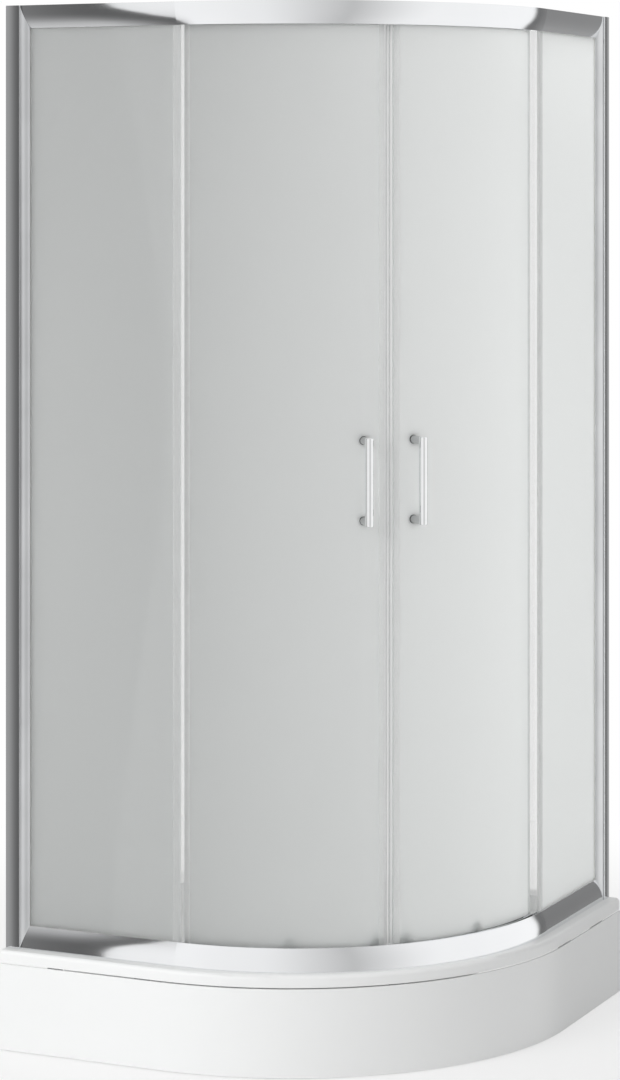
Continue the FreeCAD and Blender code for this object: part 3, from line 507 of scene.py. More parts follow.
# %% Finish the moulded parts
def moulded(name, dark, light, roughness, grain_size):
    finish = Finish(name, IOR=1.5)
    grain = finish.noise(finish.place, grain_size, 2.0)
    clouds = finish.noise(finish.place, 40.0)
    finish.show("Base Color", finish.blend(clouds, dark, light))
    finish.show("Roughness", roughness + grain * 0.12)
    finish.raise_by(grain, 0.15, 0.05 * MM)
    return finish.material


rubber = moulded("black_rubber", (0.02, 0.02, 0.022, 1), (0.045, 0.045, 0.048, 1), 0.6, 900.0)
nylon = moulded("white_nylon", (0.8, 0.8, 0.77, 1), (0.87, 0.87, 0.84, 1), 0.35, 700.0)
grey_plastic = moulded("grey_plastic", (0.4, 0.41, 0.42, 1), (0.47, 0.48, 0.49, 1), 0.42, 800.0)

# %% [markdown]
# ## Finishes on the solids
# Most solids already have the right shape, so they only take the finish of their material. A few
# go by their names instead: the extrusions, the pale glazing gaskets and the guide blocks.

# %% Put the finishes on
finish_of_slot = {
    "acrylic": white_acrylic, "board": board, "chrome": chrome, "frosted_glass": glass,
    "grey_plastic": grey_plastic, "nylon": nylon, "rubber": rubber, "seal": seal_clear,
    "steel": zinc,
}
finish_of_ending = {
    "rail": metal_rail, "carrier": metal_rail, "wall_profile": metal_upright,
    "stile": metal_stile, "gasket": nylon, "guide_housings": milky_plastic,
}
slot_of = {part["node"]: part["material_slot"] for part in frame["record"]["subparts"]}
for name, node in nodes.items():
    by_name = [special for ending, special in finish_of_ending.items() if name.endswith(ending)]
    with_material(node, by_name[0] if by_name else finish_of_slot[slot_of[name]])
print("finished", len(nodes), "solids")

# %% [markdown]
# ## Places on the two sides
# Positions are given in millimetres as they run along the object: the run is measured from the
# wall along the straight side, the turn round the curve in degrees, and the depth inwards from
# the rails' outermost line. Everything is modelled on the left side and mirrored for the right.

# %% Measure along the sides
SIDES = ("left", "right")
WALL_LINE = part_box("left_wall_profile")[0].x
RAIL_LINE = curve_y - RAIL_RADIUS
DOOR_RADIUS = 491.0          # the doors' outer face
MEETING_TURN = 45            # where the two doors meet
FRONT_GAP = 8.3              # from there back to the glass, along the doors' outer face
REAR_GAP = 3.6               # from the start of the curve to the glass
FRONT_EDGE = MEETING_TURN - math.degrees(FRONT_GAP / DOOR_RADIUS)
REAR_EDGE = math.degrees(REAR_GAP / DOOR_RADIUS)
TROLLEY_TURNS = {"front": 41.5, "rear": 22.5}


def on_side(run, depth, z=0.0):
    return Vector((WALL_LINE + run * MM, RAIL_LINE + depth * MM, z))


def on_curve(turn, depth, z=0.0):
    angle = math.radians(turn)
    radius = RAIL_RADIUS - depth * MM
    return Vector((curve_x + radius * math.sin(angle), curve_y - radius * math.cos(angle), z))


def curve_start(depth, z):
    """A point where the curve starts. Pieces are made here and then turned to their place."""
    return on_curve(0, depth, z)


def along_door(edge, length, depth, z):
    """A point at a length in millimetres from one of a door's edges."""
    return on_curve(edge + math.degrees(length / DOOR_RADIUS), depth, z)


print("the door glass runs from", round(REAR_EDGE, 2), "to", round(FRONT_EDGE, 2), "degrees")


# %% [markdown]
# ## Edge seals
# The seals are extruded plastic: one cross-section, pushed out at a constant shape and cut to
# length. So each is drawn as an outline in plan and extruded once up the pane. The two legs grip
# the glass and end in a small bead, and a thin curved fin closes the gap to the neighbouring pane.

# %% Draw the outline of a fixed pane's seal
def round_tip(length, depth, radius, start, end, steps=6):
    """Points of a rounded tip, in degrees from the length direction."""
    angles = [math.radians(start + (end - start) * i / steps) for i in range(steps + 1)]
    return [(length + radius * math.cos(angle), depth + radius * math.sin(angle))
            for angle in angles]


BEAD = 0.6                   # radius of the bead at a leg's tip
fixed_outline = (round_tip(340.6, 13.4, BEAD, 90, 270) + round_tip(354.6, 13.4, BEAD, -90, 0)
                 + [(355.15, 20.4), (354.95, 24.0), (355.1, 28.0)]
                 + round_tip(354.4, 30.6, 0.65, 0, 180)
                 + [(353.6, 28.0), (353.3, 24.0), (353.2, 21.4), (352.4, 20.2)]
                 + round_tip(340.6, 19.6, BEAD, 90, 270) + [(354.0, 19.0), (354.0, 14.0)])
print("fixed seal of", len(fixed_outline), "points")

# %% Draw the outlines of a door's seals
rear_outline = ([(0.0, 32.9)] + round_tip(11.4, 32.3, BEAD, 90, -90)
                + [(1.4, 31.7), (0.5, 31.3), (0.0, 30.2), (-0.1, 26.0)]
                + round_tip(-0.5, 21.7, 0.6, 0, -180)
                + [(-0.95, 26.0), (-1.15, 30.5), (-1.2, 38.7), (-0.6, 39.3)]
                + round_tip(11.4, 38.7, BEAD, 90, -90) + [(0.0, 38.1)])
grip_outline = ([(0.0, 32.9)] + round_tip(-11.4, 32.3, BEAD, 90, 270)
                + [(-0.4, 31.7), (0.3, 31.4), (3.4, 31.4), (3.4, 32.6), (6.4, 32.6), (6.4, 31.4)]
                + [(7.4, 31.4), (7.95, 32.0), (7.95, 39.0), (7.4, 39.6), (6.4, 39.6), (6.4, 38.4)]
                + [(3.4, 38.4), (3.4, 39.6), (0.3, 39.6), (-0.4, 39.3)]
                + round_tip(-11.4, 38.7, BEAD, 90, 270) + [(0.0, 38.1)])
front_magnet = [(3.45, 31.45), (6.35, 31.45), (6.35, 32.58), (3.45, 32.58)]
back_magnet = [(3.45, 38.42), (6.35, 38.42), (6.35, 39.55), (3.45, 39.55)]
print("rear seal of", len(rear_outline), "points, grip of", len(grip_outline), "points")


# %% Make both sides of a piece
def strip(name, points, bottom, top, material):
    """An outline at the bottom of its strip, extruded up to the top."""
    piece = push_up(draw_outline(name, points), top - bottom)
    return with_material(smooth_below(piece, 40), material)


def pair(piece, stem, body, slot):
    """Keep a left piece, mirror it for the right side, and hand both over."""
    for side in SIDES:
        kept = piece if side == "left" else mirrored(piece, "right_" + stem)
        kept.name = side + "_" + stem + "_shown"
        owner = body if body == "enclosure" else side + "_" + body
        dress(kept, owner, slot, side + "_" + stem)


# %% Extrude the fixed seals
fin_low, fin_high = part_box("left_fixed_seal")
fixed_points = [on_side(run, depth, fin_low.z) for run, depth in fixed_outline]
fixed_seal = strip("fixed_seal", fixed_points, fin_low.z, fin_high.z, seal_clear)
pair(fixed_seal, "fixed_seal", "enclosure", "seal")

# %% Extrude the doors' seals
seal_low, seal_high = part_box("left_magnetic_seal")


def door_strip(name, edge, outline, material):
    points = [along_door(edge, length, depth, seal_low.z) for length, depth in outline]
    return strip(name, points, seal_low.z, seal_high.z, material)


rear_seal = door_strip("rear_seal", REAR_EDGE, rear_outline, seal_clear)
pair(rear_seal, "rear_seal", "door", "seal")
grip = door_strip("grip", FRONT_EDGE, grip_outline, seal_clear)
magnets = [door_strip("magnet", FRONT_EDGE, outline, magnet_white)
           for outline in (front_magnet, back_magnet)]
pair(join([grip] + magnets, "magnetic_seal"), "magnetic_seal", "door", "seal")


# %% [markdown]
# ## Turned pieces
# Bars, washers, nuts, wheels, rollers, pins and feet are round, and the real ones are turned or
# moulded round. Each is drawn as half of its section and spun about its axis. A section is a list
# of radius and height in millimetres, so rounded edges and grooves are points of it.

# %% A lathe
AXES = {"Y": Vector((0, 1, 0)), "Z": Vector((0, 0, 1))}


def lathe(name, section, base, axis="Z", steps=40, smooth=35):
    along = AXES[axis]
    points = [base + Vector((radius * MM, 0, 0)) + along * (height * MM)
              for radius, height in section]
    return smooth_below(spin_round(draw_outline(name, points), base, along, steps), smooth)


# %% [markdown]
# ## Handles
# Each handle is a chromed bar on two satin posts. The bar's ends are softened, each post has a
# shadow groove where it meets the rubber washer, and the bolt goes on through the glass to a cap
# nut. They could be tubes of the curve tool, but only a section gives the groove and soft ends.

# %% Turn the bar and posts
HANDLE_TURN = 39.3
HANDLE_HEIGHTS = (993.25, 1138.75)
HANDLE_DEPTH = -5            # the bar's middle line, in front of the rails
BAR_BOTTOM = 986
bar_section = [(0, 0), (6.5, 0), (7.3, 0.25), (7.8, 0.8), (8, 1.6),
               (8, 158.4), (7.8, 159.2), (7.3, 159.75), (6.5, 160), (0, 160)]
post_section = [(0, 0), (7.25, 0), (7.25, 34.6), (6.6, 34.8), (6.6, 35.4), (7.25, 35.6),
                (7.25, 36.2), (7.0, 36.4), (3.0, 36.4), (3.0, 50.7), (0, 50.7)]
bar = lathe("bar", bar_section, curve_start(HANDLE_DEPTH, BAR_BOTTOM * MM), steps=64)
handle_parts = [with_material(bar, chrome)]
for height in HANDLE_HEIGHTS:
    post = lathe("post", post_section, curve_start(HANDLE_DEPTH, height * MM), "Y", steps=48)
    handle_parts.append(with_material(post, nickel))
handle = moved(join(handle_parts, "handle_bar"), about_curve(HANDLE_TURN))
pair(handle, "handle_bar", "door", "chrome")

# %% Turn the washers and cap nuts
RING_DEPTHS = (31.4, 38.1)   # outside and inside the glass
NUT_DEPTH = 39.7
ring_section = [(3.05, 0), (7.6, 0), (7.9, 0.25), (8, 0.6), (8, 1.0), (7.9, 1.35), (7.6, 1.6),
                (3.05, 1.6)]
nut_section = [(3.05, 0), (9.4, 0), (9.8, 0.2), (10, 0.6), (10, 4.2), (9.7, 5.5), (8.9, 6.4),
               (7.6, 6.9), (6.8, 7.0), (6.4, 6.6), (0, 6.4), (0, 6), (3.05, 6)]
rings = []
nuts = []
for height in HANDLE_HEIGHTS:
    for depth in RING_DEPTHS:
        rings.append(lathe("ring", ring_section, curve_start(depth, height * MM), "Y"))
    nuts.append(lathe("nut", nut_section, curve_start(NUT_DEPTH, height * MM), "Y", steps=48))
handle_rings = moved(join(rings, "handle_rings"), about_curve(HANDLE_TURN))
handle_nuts = moved(join(nuts, "handle_nuts"), about_curve(HANDLE_TURN))
pair(with_material(handle_rings, rubber), "handle_rings", "door", "rubber")
pair(with_material(handle_nuts, chrome), "handle_nuts", "door", "chrome")

# %% [markdown]
# ## Trolleys and wheels
# A door hangs from two trolleys in the top track. A trolley is a pressed block with an axle
# through it and a stud down to the door's top channel. The wheels are nylon tyres on small
# bearings, so the part near the axle is steel. They are crowned a little, as rollers are.

# %% Turn the wheels
TRACK_DEPTH = 35.5
WHEEL_CENTRE = 1920.3 * MM
WHEEL_STARTS = (-8.8, 4.6)   # the two wheels on an axle, from the track's middle line
BEARING_RADIUS = 5.2
wheel_section = [(2.05, 0.3), (3.2, 0.3), (3.3, 0.1), (4.6, 0.1), (4.7, 0.5), (5.4, 0.5),
                 (5.6, 0.1), (8.2, 0.1), (8.7, 0.5), (9, 1.2), (9, 3.0), (8.7, 3.7), (8.2, 4.1),
                 (5.6, 4.1), (5.4, 3.7), (4.7, 3.7), (4.6, 4.1), (3.3, 4.1), (3.2, 3.9),
                 (2.05, 3.9)]


def tint_inside(piece, centre, axis, radius):
    """Give the faces near the axis the piece's second material."""
    for face in piece.data.polygons:
        away = face.center - centre
        away = away - axis * away.dot(axis)
        if away.length < radius * MM:
            face.material_index = 1
    return piece


for place, turn in TROLLEY_TURNS.items():
    wheels = []
    for start in WHEEL_STARTS:
        base = curve_start(TRACK_DEPTH + start, WHEEL_CENTRE)
        wheel = with_material(lathe("wheel", wheel_section, base, "Y", steps=48), nylon, zinc)
        wheels.append(tint_inside(wheel, base, AXES["Y"], BEARING_RADIUS))
    stem = place + "_wheels"
    pair(moved(join(wheels, stem), about_curve(turn)), stem, stem, "nylon")


# %% Shape blocks
FACING = 0.99                # cosine from which a face counts as facing along an axis
NEARLY_LARGEST = 0.9         # share of the largest face's area
RECESS_SLOPE = 0.3           # width of a sunk face's sloping edge


def edged_block(name, low, high, bevel):
    """A cube stretched between two corners in edit mode, with its edges bevelled."""
    bpy.ops.object.select_all(action="DESELECT")
    bpy.ops.mesh.primitive_cube_add(size=1, location=(low + high) / 2)
    piece = bpy.context.object
    piece.name = name
    bpy.ops.object.mode_set(mode="EDIT")
    bpy.ops.mesh.select_all(action="SELECT")
    bpy.ops.transform.resize(value=high - low)
    bpy.ops.object.mode_set(mode="OBJECT")
    bpy.ops.object.transform_apply(location=True, rotation=True, scale=True)
    return soften(piece, bevel * MM, segments=3)


def sunk_faces(piece, axis, rim, depth):
    """Inset the large faces that look along an axis, and push them in."""
    select_only(piece)
    bpy.ops.object.mode_set(mode="EDIT")
    bpy.ops.mesh.select_mode(type="FACE")
    bpy.ops.mesh.select_all(action="DESELECT")
    bpy.ops.object.mode_set(mode="OBJECT")
    facing = [face for face in piece.data.polygons if abs(face.normal.dot(axis)) > FACING]
    largest = max(face.area for face in facing)
    for face in facing:
        face.select = face.area > NEARLY_LARGEST * largest
    bpy.ops.object.mode_set(mode="EDIT")
    bpy.ops.mesh.inset(thickness=rim * MM, depth=0, use_individual=True)
    bpy.ops.mesh.inset(thickness=RECESS_SLOPE * MM, depth=-depth * MM, use_individual=True)
    bpy.ops.object.mode_set(mode="OBJECT")
    return piece


# %% Build a trolley
FLANGE_HEIGHT = 1906
middle = curve_start(TRACK_DEPTH, WHEEL_CENTRE)
block_half = Vector((13, 3.5, 6)) * MM
block = edged_block("block", middle - block_half, middle + block_half, 1.6)
sunk_faces(block, AXES["Y"], rim=1.6, depth=0.7)
axle_section = [(0, 0), (3.0, 0), (3.4, 0.2), (3.5, 0.5), (3.5, 1), (2, 1), (2, 18.8), (3.5, 18.8),
                (3.5, 19.3), (3.4, 19.6), (3.0, 19.8), (0, 19.8)]
axle_start = middle - AXES["Y"] * (9.9 * MM)
axle = lathe("axle", axle_section, axle_start, "Y")
flange_base = curve_start(TRACK_DEPTH, FLANGE_HEIGHT * MM)
flange = edged_block("flange", flange_base + Vector((-7, -4, 0)) * MM,
                     flange_base + Vector((7, 4, 2)) * MM, 0.4)
stud_section = [(0, 1), (3, 1), (3, 2.4), (2.7, 2.7), (3, 3.0), (2.7, 3.3), (3, 3.6), (2.7, 3.9),
                (3, 4.2), (3, 9), (0, 9)]
stud = lathe("stud", stud_section, flange_base)
lock_nut_section = [(2.9, 0), (3.9, 0), (4.0, 0.2), (4.0, 2.2), (3.9, 2.4), (2.9, 2.4)]
lock_nut = lathe("lock_nut", lock_nut_section, flange_base + AXES["Z"] * (2 * MM), steps=6,
                 smooth=20)
trolley = with_material(join([block, axle, flange, stud, lock_nut], "trolley"), zinc)
rear_trolley = copied(trolley, "rear_trolley", about_curve(TROLLEY_TURNS["rear"]))
moved(trolley, about_curve(TROLLEY_TURNS["front"]))
pair(join([trolley, rear_trolley], "trolleys"), "trolleys", "door", "steel")

# %% [markdown]
# ## Bottom guides
# A spring pin with a ribbed knob holds a small roller in the groove of the bottom rail. Pulled up,
# it frees the door for cleaning. The knob is spun, and then every other rib is pushed out.

# %% Push out the ribs of a knob
KNOB_STEPS = 32
KNOB_INSIDE = 5.0            # faces farther than this from the axis are on the knob
RIB_LOW = 45.6
RIB_HIGH = 51.4
RIB_EDGE = 0.08
RIB_PUSH = 0.25


def ribbed(piece, base):
    """Push every other upright face of a knob outwards."""
    select_only(piece)
    bpy.ops.object.mode_set(mode="EDIT")
    bpy.ops.mesh.select_mode(type="FACE")
    bpy.ops.mesh.select_all(action="DESELECT")
    bpy.ops.object.mode_set(mode="OBJECT")
    for face in piece.data.polygons:
        away = face.center - base
        on_height = RIB_LOW * MM < away.z < RIB_HIGH * MM
        rib = round(math.degrees(math.atan2(away.y, away.x)) / (360 / KNOB_STEPS) - 0.5)
        face.select = on_height and away.xy.length > KNOB_INSIDE * MM and rib % 2 == 0
    bpy.ops.object.mode_set(mode="EDIT")
    bpy.ops.mesh.inset(thickness=RIB_EDGE * MM, depth=RIB_PUSH * MM, use_individual=True)
    bpy.ops.object.mode_set(mode="OBJECT")
    return piece


# %% Turn the pins
GUIDE_DEPTH = 45.0
PIN_BOTTOM = 189.45
pin_section = [(0, 0), (2.2, 0), (2.5, 0.3), (2.5, 1.5), (1.5, 1.5), (1.5, 7.6), (2.5, 7.6),
               (2.5, 44.4), (4.6, 44.4), (5.1, 44.7), (5.2, 45.4), (5.2, 51.6), (5.1, 52.4),
               (4.5, 53.2), (3.6, 53.4), (3.2, 53.0), (0, 53.0)]
pin_base = curve_start(GUIDE_DEPTH, PIN_BOTTOM * MM)
for place, turn in TROLLEY_TURNS.items():
    stem = place + "_guide_pin"
    pin = ribbed(lathe("pin", pin_section, pin_base, steps=KNOB_STEPS), pin_base)
    pair(with_material(moved(pin, about_curve(turn)), milky_plastic), stem, stem, "grey_plastic")

# %% Turn the rollers
ROLLER_BOTTOM = 191.0
roller_section = [(1.55, 0), (3.2, 0), (3.8, 0.3), (4, 1.0), (3.85, 2.6), (3.7, 3.0), (3.85, 3.4),
                  (4, 5.0), (3.8, 5.7), (3.2, 6), (1.55, 6)]
roller_base = curve_start(GUIDE_DEPTH, ROLLER_BOTTOM * MM)
for place, turn in TROLLEY_TURNS.items():
    stem = place + "_guide_roller"
    roller = lathe("roller", roller_section, roller_base, steps=36)
    pair(with_material(moved(roller, about_curve(turn)), nylon), stem, stem, "nylon")

# %% [markdown]
# ## Screws in the wall profiles
# Pan-head screws fix each stile in its wall profile, seen from inside the shower. The head is
# spun, and a cross is cut into it with a boolean, as a driver bit would fit.

# %% Cut the adjuster screws
SCREW_RUN = 16.2
SCREW_SEAT = 25.0
SCREW_HEIGHTS = (280, 1060, 1840)
SLOT_WIDTH = 0.8
SLOT_DEPTH = 2.2
SLOT_LENGTH = 3.8
SLOT_MIDDLE = 2.3            # of the cutter, from the screw's seat
head_section = [(0, -7), (1.2, -7), (1.7, -6.2), (1.7, 0), (3.3, 0), (3.5, 0.4), (3.3, 1.2),
                (2.6, 2.0), (1.4, 2.4), (0, 2.4)]


def cross_recess(piece, centre):
    """Cut two crossed slots into a screw head."""
    for size in ((SLOT_WIDTH, SLOT_DEPTH, SLOT_LENGTH), (SLOT_LENGTH, SLOT_DEPTH, SLOT_WIDTH)):
        half = Vector(size) * (MM / 2)
        cutter = edged_block("cutter", centre - half, centre + half, 0.05)
        cut = piece.modifiers.new("recess", "BOOLEAN")
        cut.operation = "DIFFERENCE"
        cut.object = cutter
        select_only(piece)
        bpy.ops.object.modifier_apply(modifier=cut.name)
        select_only(cutter)
        bpy.ops.object.delete()
    return piece


first_seat = on_side(SCREW_RUN, SCREW_SEAT, SCREW_HEIGHTS[0] * MM)
screw = lathe("screw", head_section, first_seat, "Y", steps=32)
cross_recess(screw, first_seat + AXES["Y"] * (SLOT_MIDDLE * MM))
screws = [screw]
for height in SCREW_HEIGHTS[1:]:
    lift = Matrix.Translation((0, 0, (height - SCREW_HEIGHTS[0]) * MM))
    screws.append(copied(screw, "screw", lift))
left_screws = join(screws, "left_screws")
right_screws = mirrored(left_screws, "right_screws")
all_screws = with_material(join([left_screws, right_screws], "adjuster_screws_shown"), zinc)
dress(all_screws, "enclosure", "steel", "adjuster_screws")

# %% [markdown]
# ## Feet
# The tray stands on five threaded rods with lock nuts and rubber pads, so that it can be
# levelled. One thread is drawn as a zigzag and spun, so rings stand in for its helix. The leg is
# then copied to the other four places.

# %% Draw the sections of a foot
PITCH = 1.75
THREAD_ROOT = 4.45
THREAD_CREST = 5.0
LEG_LENGTH = 84.5
thread = []
for turn in range(int(LEG_LENGTH / PITCH)):
    thread += [(THREAD_ROOT, turn * PITCH), (THREAD_CREST, (turn + 0.5) * PITCH)]
leg_section = [(0, 0)] + thread + [(THREAD_ROOT, LEG_LENGTH), (0, LEG_LENGTH)]
hex_section = [(4.9, 64), (9.0, 64), (10, 64.7), (10, 71.3), (9.0, 72), (4.9, 72)]
pad_section = [(0, 0), (6, 0), (6.5, 0.6), (9.5, 0.6), (10, 0), (14, 0), (14.5, 0.6), (17.5, 0.6),
               (18, 0), (23.4, 0), (24.6, 0.5), (25, 1.6), (25, 4.6), (24.4, 5.2), (24.4, 6.2),
               (24.8, 7.0), (24.2, 9.4), (22.6, 11.2), (20, 12), (9, 12), (8.4, 11.4),
               (6.4, 11.4), (5.8, 12), (0, 12)]
print("thread of", len(thread) // 2, "turns")

# %% Turn the legs and pads
LEG_PLACES = ((-34, 34), (-351, 34), (149, 34), (-34, 351), (-34, -149))
LEG_BOTTOM = 12
first = Vector((*LEG_PLACES[0], 0)) * MM
leg_base = first + AXES["Z"] * (LEG_BOTTOM * MM)
rod = lathe("rod", leg_section, leg_base, steps=24, smooth=20)
leg = join([rod, lathe("hex", hex_section, leg_base, steps=6, smooth=20)], "leg")
pad = lathe("pad", pad_section, first, steps=48)
legs = [leg]
pads = [pad]
for spot in LEG_PLACES[1:]:
    shift = Matrix.Translation(Vector((*spot, 0)) * MM - first)
    legs.append(copied(leg, "leg", shift))
    pads.append(copied(pad, "pad", shift))
all_legs = with_material(join(legs, "tray_legs_shown"), zinc)
dress(all_legs, "enclosure", "steel", "tray_legs")
all_pads = with_material(join(pads, "tray_foot_pads_shown"), rubber)
dress(all_pads, "enclosure", "rubber", "tray_foot_pads")

# %% [markdown]
# ## Drain
# The drain's flange is a turned ring with a soft edge. Its cover is a domed shell that stands on
# three rests and is located by three feet, so that water runs in under its edge all round.

# %% Turn the drain's flange
drain_middle = Vector((-190, 190, 130)) * MM     # on the bowl's floor
flange_section = [(36, -11), (39, -11), (39, 0), (55.5, 0), (56, 0.4), (55.6, 1.5), (54.4, 2.4),
                  (52.4, 2.9), (50, 3), (39, 3), (37.2, 2.6), (36.2, 1.7), (36, 0.6)]
drain_flange = lathe("drain_flange_shown", flange_section, drain_middle, steps=72)
dress(with_material(drain_flange, chrome), "enclosure", "steel", "drain_flange")

# %% Turn the drain's cover
DOME_RADIUS = 160.25
DOME_HEIGHT = 8.0
UNDERSIDE = 6.0              # of the cover's edge above the bowl's floor
WALL = 2                     # of the domed shell
COVER_EDGE = 49.9
FOOT_CIRCLE = 32.7           # the feet stand inside the flange
REST_CIRCLE = 36.3           # the rests stand on it


def dome(radius, drop=0.0):
    rise = math.sqrt(DOME_RADIUS ** 2 - radius ** 2) - DOME_RADIUS + DOME_HEIGHT
    return (radius, UNDERSIDE + rise - drop)


cover_section = ([dome(radius) for radius in (0, 12, 24, 33, 40, 45, 48.6)]
                 + [(COVER_EDGE, UNDERSIDE + 0.4), (COVER_EDGE, UNDERSIDE), (46, UNDERSIDE)]
                 + [(43, UNDERSIDE + 0.3)] + [dome(radius, WALL) for radius in (38, 24, 12, 0)])
foot_section = [(0, -3), (2.4, -3), (3, -2.2), (3, 9.4), (0, 9.4)]
rest_section = [(0, 3), (3.6, 3), (4, 3.4), (4, 8.4), (0, 8.4)]
cover_parts = [lathe("cover", cover_section, drain_middle, steps=72)]
for angle in (30, 150, 270):
    direction = Vector((math.cos(math.radians(angle)), math.sin(math.radians(angle)), 0))
    foot_place = drain_middle + direction * FOOT_CIRCLE * MM
    rest_place = drain_middle + direction * REST_CIRCLE * MM
    cover_parts.append(lathe("foot", foot_section, foot_place, steps=20))
    cover_parts.append(lathe("rest", rest_section, rest_place, steps=20))
cover = with_material(join(cover_parts, "drain_cover_shown"), chrome)
dress(cover, "drain_cover", "chrome", "drain_cover")

# %% [markdown]
# ## Floor
# The enclosure stands on a pale floor. The camera sees it fade into white with distance, and
# reflections look through it, so that only its shadow and its bounced light fall on the object.

# %% Lay the floor
FLOOR_RADIUS = 14.0
FLOOR_DROP = 0.2 * MM        # under the feet, so that the two never share a plane
FADE_FROM = 0.7
FADE_TO = 2.0


def soft_floor():
    finish = Finish("pale_floor", Roughness=0.6, Base_Color=(0.86, 0.86, 0.86, 1))
    x, y, z = finish.split(finish.place)
    far = finish.ramp((x * x + y * y) ** 0.5, FADE_FROM, FADE_TO, 0.6, 1.0)
    seen = finish.node("ShaderNodeLightPath", output="Is Camera Ray")
    mirrored_ray = finish.node("ShaderNodeLightPath", output="Is Glossy Ray")
    finish.mix_in(finish.node("ShaderNodeEmission", inputs={"Strength": 1.0}), far * seen)
    finish.mix_in(finish.node("ShaderNodeBsdfTransparent"), mirrored_ray)
    return finish.material


bpy.ops.object.select_all(action="DESELECT")
bpy.ops.mesh.primitive_circle_add(vertices=96, radius=FLOOR_RADIUS, fill_type="NGON",
                                  location=(0, 0, -FLOOR_DROP))
floor = bpy.context.object
floor.name = "floor"
with_material(floor, soft_floor())

# %% [markdown]
# ## Dark flags
# Dark flags stand in front of the left side, as a photographer puts them there to give bright
# metal an edge. Only reflections show them. The large one darkens the rails: it is dark at their
# heights and lighter between, and its right edge is rounded, so the dark ends along a slant. The
# narrow one stands close to the wall profile and darkens that alone.

# %% Put up a flag
def flag(name, depth, outline, shades):
    """An upright screen that only reflections show. Its shade is worked out from x and z."""
    piece = draw_outline(name, [(x, depth, z) for x, z in outline])
    finish = Finish(name)
    x, y, z = finish.split(finish.place)
    glow = finish.node("ShaderNodeEmission", inputs={"Strength": shades(finish, x, z)})
    connect(finish.tree, glow, finish.surface)
    piece.visible_camera = False
    piece.visible_diffuse = False
    piece.visible_shadow = False
    piece.visible_transmission = False
    with_material(piece, finish.material)


# %% Shade the two flags
BETWEEN_RAILS = 0.66         # the large flag's lightest shade
LOWER_FADE = (0.25, 0.85)    # heights between which it turns light above the bottom rail
UPPER_FADE = (1.15, 1.75)    # and dark again below the top rail
RAIL_FLAG_EDGE = [(-0.56, -0.4), (-0.55, 0.04), (-0.53, 0.33), (-0.47, 0.71), (-0.43, 1.0),
                  (-0.43, 1.3), (-0.49, 1.7), (-0.555, 1.95), (-0.62, 2.6)]


def rail_shades(finish, x, z):
    dark = finish.ramp(x, -1.2, -0.56, 0.46, 0.12)
    between = finish.ramp(z, *LOWER_FADE) * finish.ramp(z, *UPPER_FADE, 1.0, 0.0)
    return dark + between * finish.ramp(x, -0.7, -0.5, 1.0, 0.0) * (BETWEEN_RAILS - dark)


def profile_shades(finish, x, z):
    return finish.ramp(x, -0.462, -0.422, 0.36, 0.1)


flag("rail_flag", -1.0, [(-1.3, -0.4)] + RAIL_FLAG_EDGE + [(-1.3, 2.6)], rail_shades)
flag("profile_flag", -0.44, [(-0.48, -0.1), (-0.4255, -0.1), (-0.4255, 2.1), (-0.48, 2.1)],
     profile_shades)


# %% [markdown]
# ## Lamps
# One large soft lamp stands at the front left. A weaker one shines in through the open room
# corner, where the walls would be, and brightens the curved glass from behind.

# %% Light the room
MIDDLE = Vector((0, 0, 0.95))


def area_lamp(name, azimuth, elevation, distance, size, power):
    """A soft lamp aimed at the middle, at an azimuth where 0 is in front at -Y and 90 at +X."""
    turn = math.radians(azimuth)
    lift = math.radians(elevation)
    direction = Vector((math.sin(turn) * math.cos(lift), -math.cos(turn) * math.cos(lift),
                        math.sin(lift)))
    light = bpy.data.lights.new(name, "AREA")
    light.shape = "DISK"
    light.size = size
    light.energy = power
    lamp = bpy.data.objects.new(name, light)
    lamp.location = MIDDLE + direction * distance
    lamp.rotation_euler = direction.to_track_quat("Z", "Y").to_euler()
    lamp.visible_camera = False
    lamp.visible_glossy = False
    lamp.visible_transmission = False
    bpy.context.collection.objects.link(lamp)
    print(name, "at", [round(length, 2) for length in lamp.location])


area_lamp("key_lamp", azimuth=-22, elevation=22, distance=5.0, size=3.0, power=118)
area_lamp("corner_lamp", azimuth=-97, elevation=8, distance=4.0, size=2.5, power=22)


# %% [markdown]
# ## World
# Polished metal shows what is around it, so the world holds a plain studio for reflections: a
# ring of pale screens with darker gaps, as greys for each azimuth. The gaps are lighter towards
# the floor and the ceiling. A second ring is the light that reaches the panes from behind, most
# of it through the open room corner. The camera sees white, and all else gets an even grey.

# %% Set up the world
AMBIENT = 0.6
DARKEST_ABOVE = 0.5          # the gaps' darkest grey towards the floor and the ceiling
STEEP = (0.3, 0.85)          # the rise of a ray, between level and upright, where that sets in
MIRRORED_ROOM = [(-180, 0.6), (-90, 0.75), (-60, 0.55), (-33, 0.7), (-26, 1.0), (0, 0.94),
                 (11, 0.92), (20, 0.85), (30, 0.75), (39, 0.66), (49, 0.56), (58, 0.68),
                 (67, 0.8), (77, 0.92), (86, 0.98), (142, 1.04), (147, 1.04), (150, 0.13),
                 (160, 0.26), (170, 0.45)]
ROOM_THROUGH_GLASS = [(-180, 0.02), (-150, 0.04), (-120, 0.85), (-90, 2.8), (-50, 0.1), (0, 0.04),
                      (180, 0.02)]


def ring(sky, azimuth, stops):
    """A grey for each azimuth, where 0 is in front at -Y and 90 is at +X."""
    grey_there = sky.node("ShaderNodeValToRGB", inputs={0: (azimuth + 180) / 360})
    elements = grey_there.socket.node.color_ramp.elements
    for place, (angle, grey) in enumerate(stops):
        position = (angle + 180) / 360
        element = elements[place] if place < 2 else elements.new(position)
        element.position = position
        element.color = (grey, grey, grey, 1)
    return grey_there


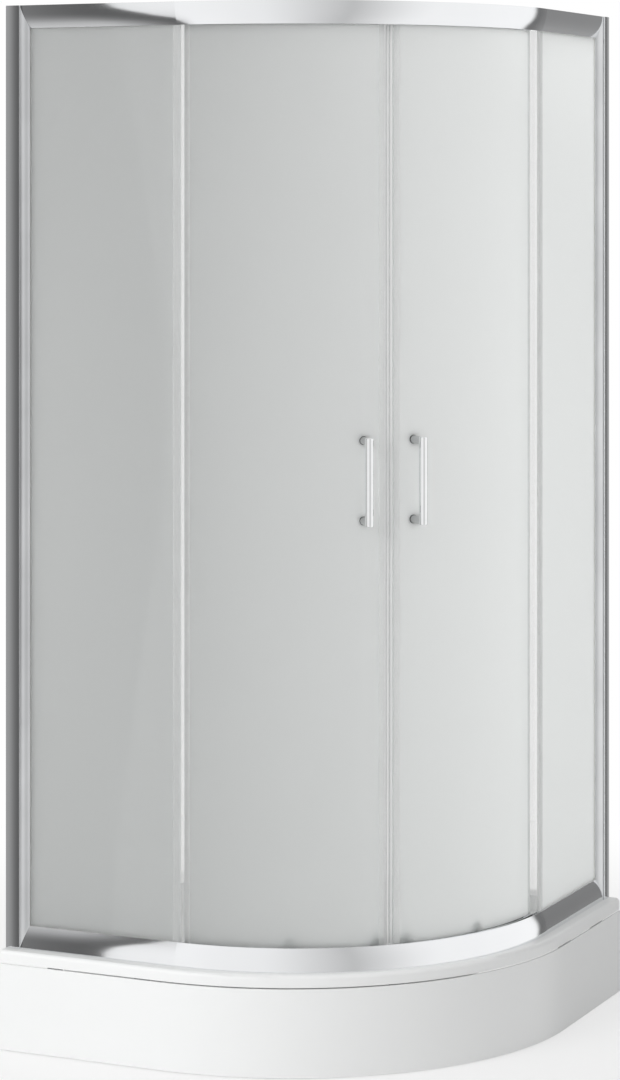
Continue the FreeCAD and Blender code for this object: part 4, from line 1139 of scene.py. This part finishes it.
def studio_world():
    world = bpy.context.scene.world or bpy.data.worlds.new("studio")
    bpy.context.scene.world = world
    world.use_nodes = True
    sky = Network(world.node_tree)
    x, y, z = sky.split(sky.node("ShaderNodeTexCoord", output="Generated"))
    azimuth = x.math("ARCTAN2", y * -1) * (180 / math.pi)
    open_room = [(angle, max(grey, DARKEST_ABOVE)) for angle, grey in MIRRORED_ROOM]
    screens = sky.blend(sky.ramp(z.math("ABSOLUTE"), *STEEP),
                        ring(sky, azimuth, MIRRORED_ROOM), ring(sky, azimuth, open_room))
    behind = ring(sky, azimuth, ROOM_THROUGH_GLASS)
    seen, glossy, passed = [sky.node("ShaderNodeLightPath", output=kind) for kind in
                            ("Is Camera Ray", "Is Glossy Ray", "Is Transmission Ray")]
    colour = sky.blend(glossy, (AMBIENT, AMBIENT, AMBIENT, 1), screens)
    colour = sky.blend(passed, colour, behind)
    colour = sky.blend(seen, colour, (1, 1, 1, 1))
    background = sky.tree.nodes["Background"]
    connect(sky.tree, colour, background.inputs["Color"])
    background.inputs["Strength"].default_value = 1.0
    print("world of", len(sky.tree.nodes), "nodes")


studio_world()
bpy.context.scene.view_settings.view_transform = "Standard"

# %% [markdown]
# ## Camera
# The camera stands at about eye height and looks level, so that the uprights stay upright. Its
# picture is shifted down to the object, as with a view camera. Its place, lens and shift were
# worked out from where the ends of the rails and the seams lie in the photograph.

# %% Place the camera
FRAME_WIDTH = 620            # the photograph, in pixels
FRAME_HEIGHT = 1080          # its longer side takes the sensor's width
SENSOR = 36.0
FOCAL_PIXELS = 3216.5
AXIS_PIXEL = (275.1, 182.0)  # where the level view axis meets the image
CAMERA_PLACE = (2.5371, -5.6271, 1.6074)
CAMERA_TURN = 25.085
camera_data = bpy.data.cameras.new("camera")
camera_data.sensor_fit = "AUTO"
camera_data.sensor_width = SENSOR
camera_data.lens = FOCAL_PIXELS * SENSOR / FRAME_HEIGHT
camera_data.shift_x = (FRAME_WIDTH / 2 - AXIS_PIXEL[0]) / FRAME_HEIGHT
camera_data.shift_y = (AXIS_PIXEL[1] - FRAME_HEIGHT / 2) / FRAME_HEIGHT
camera_data.dof.use_dof = False
camera = bpy.data.objects.new("camera", camera_data)
camera.location = CAMERA_PLACE
camera.rotation_euler = (math.radians(90), 0, math.radians(CAMERA_TURN))
bpy.context.collection.objects.link(camera)
bpy.context.scene.camera = camera
print("lens of", round(camera_data.lens, 1), "mm")
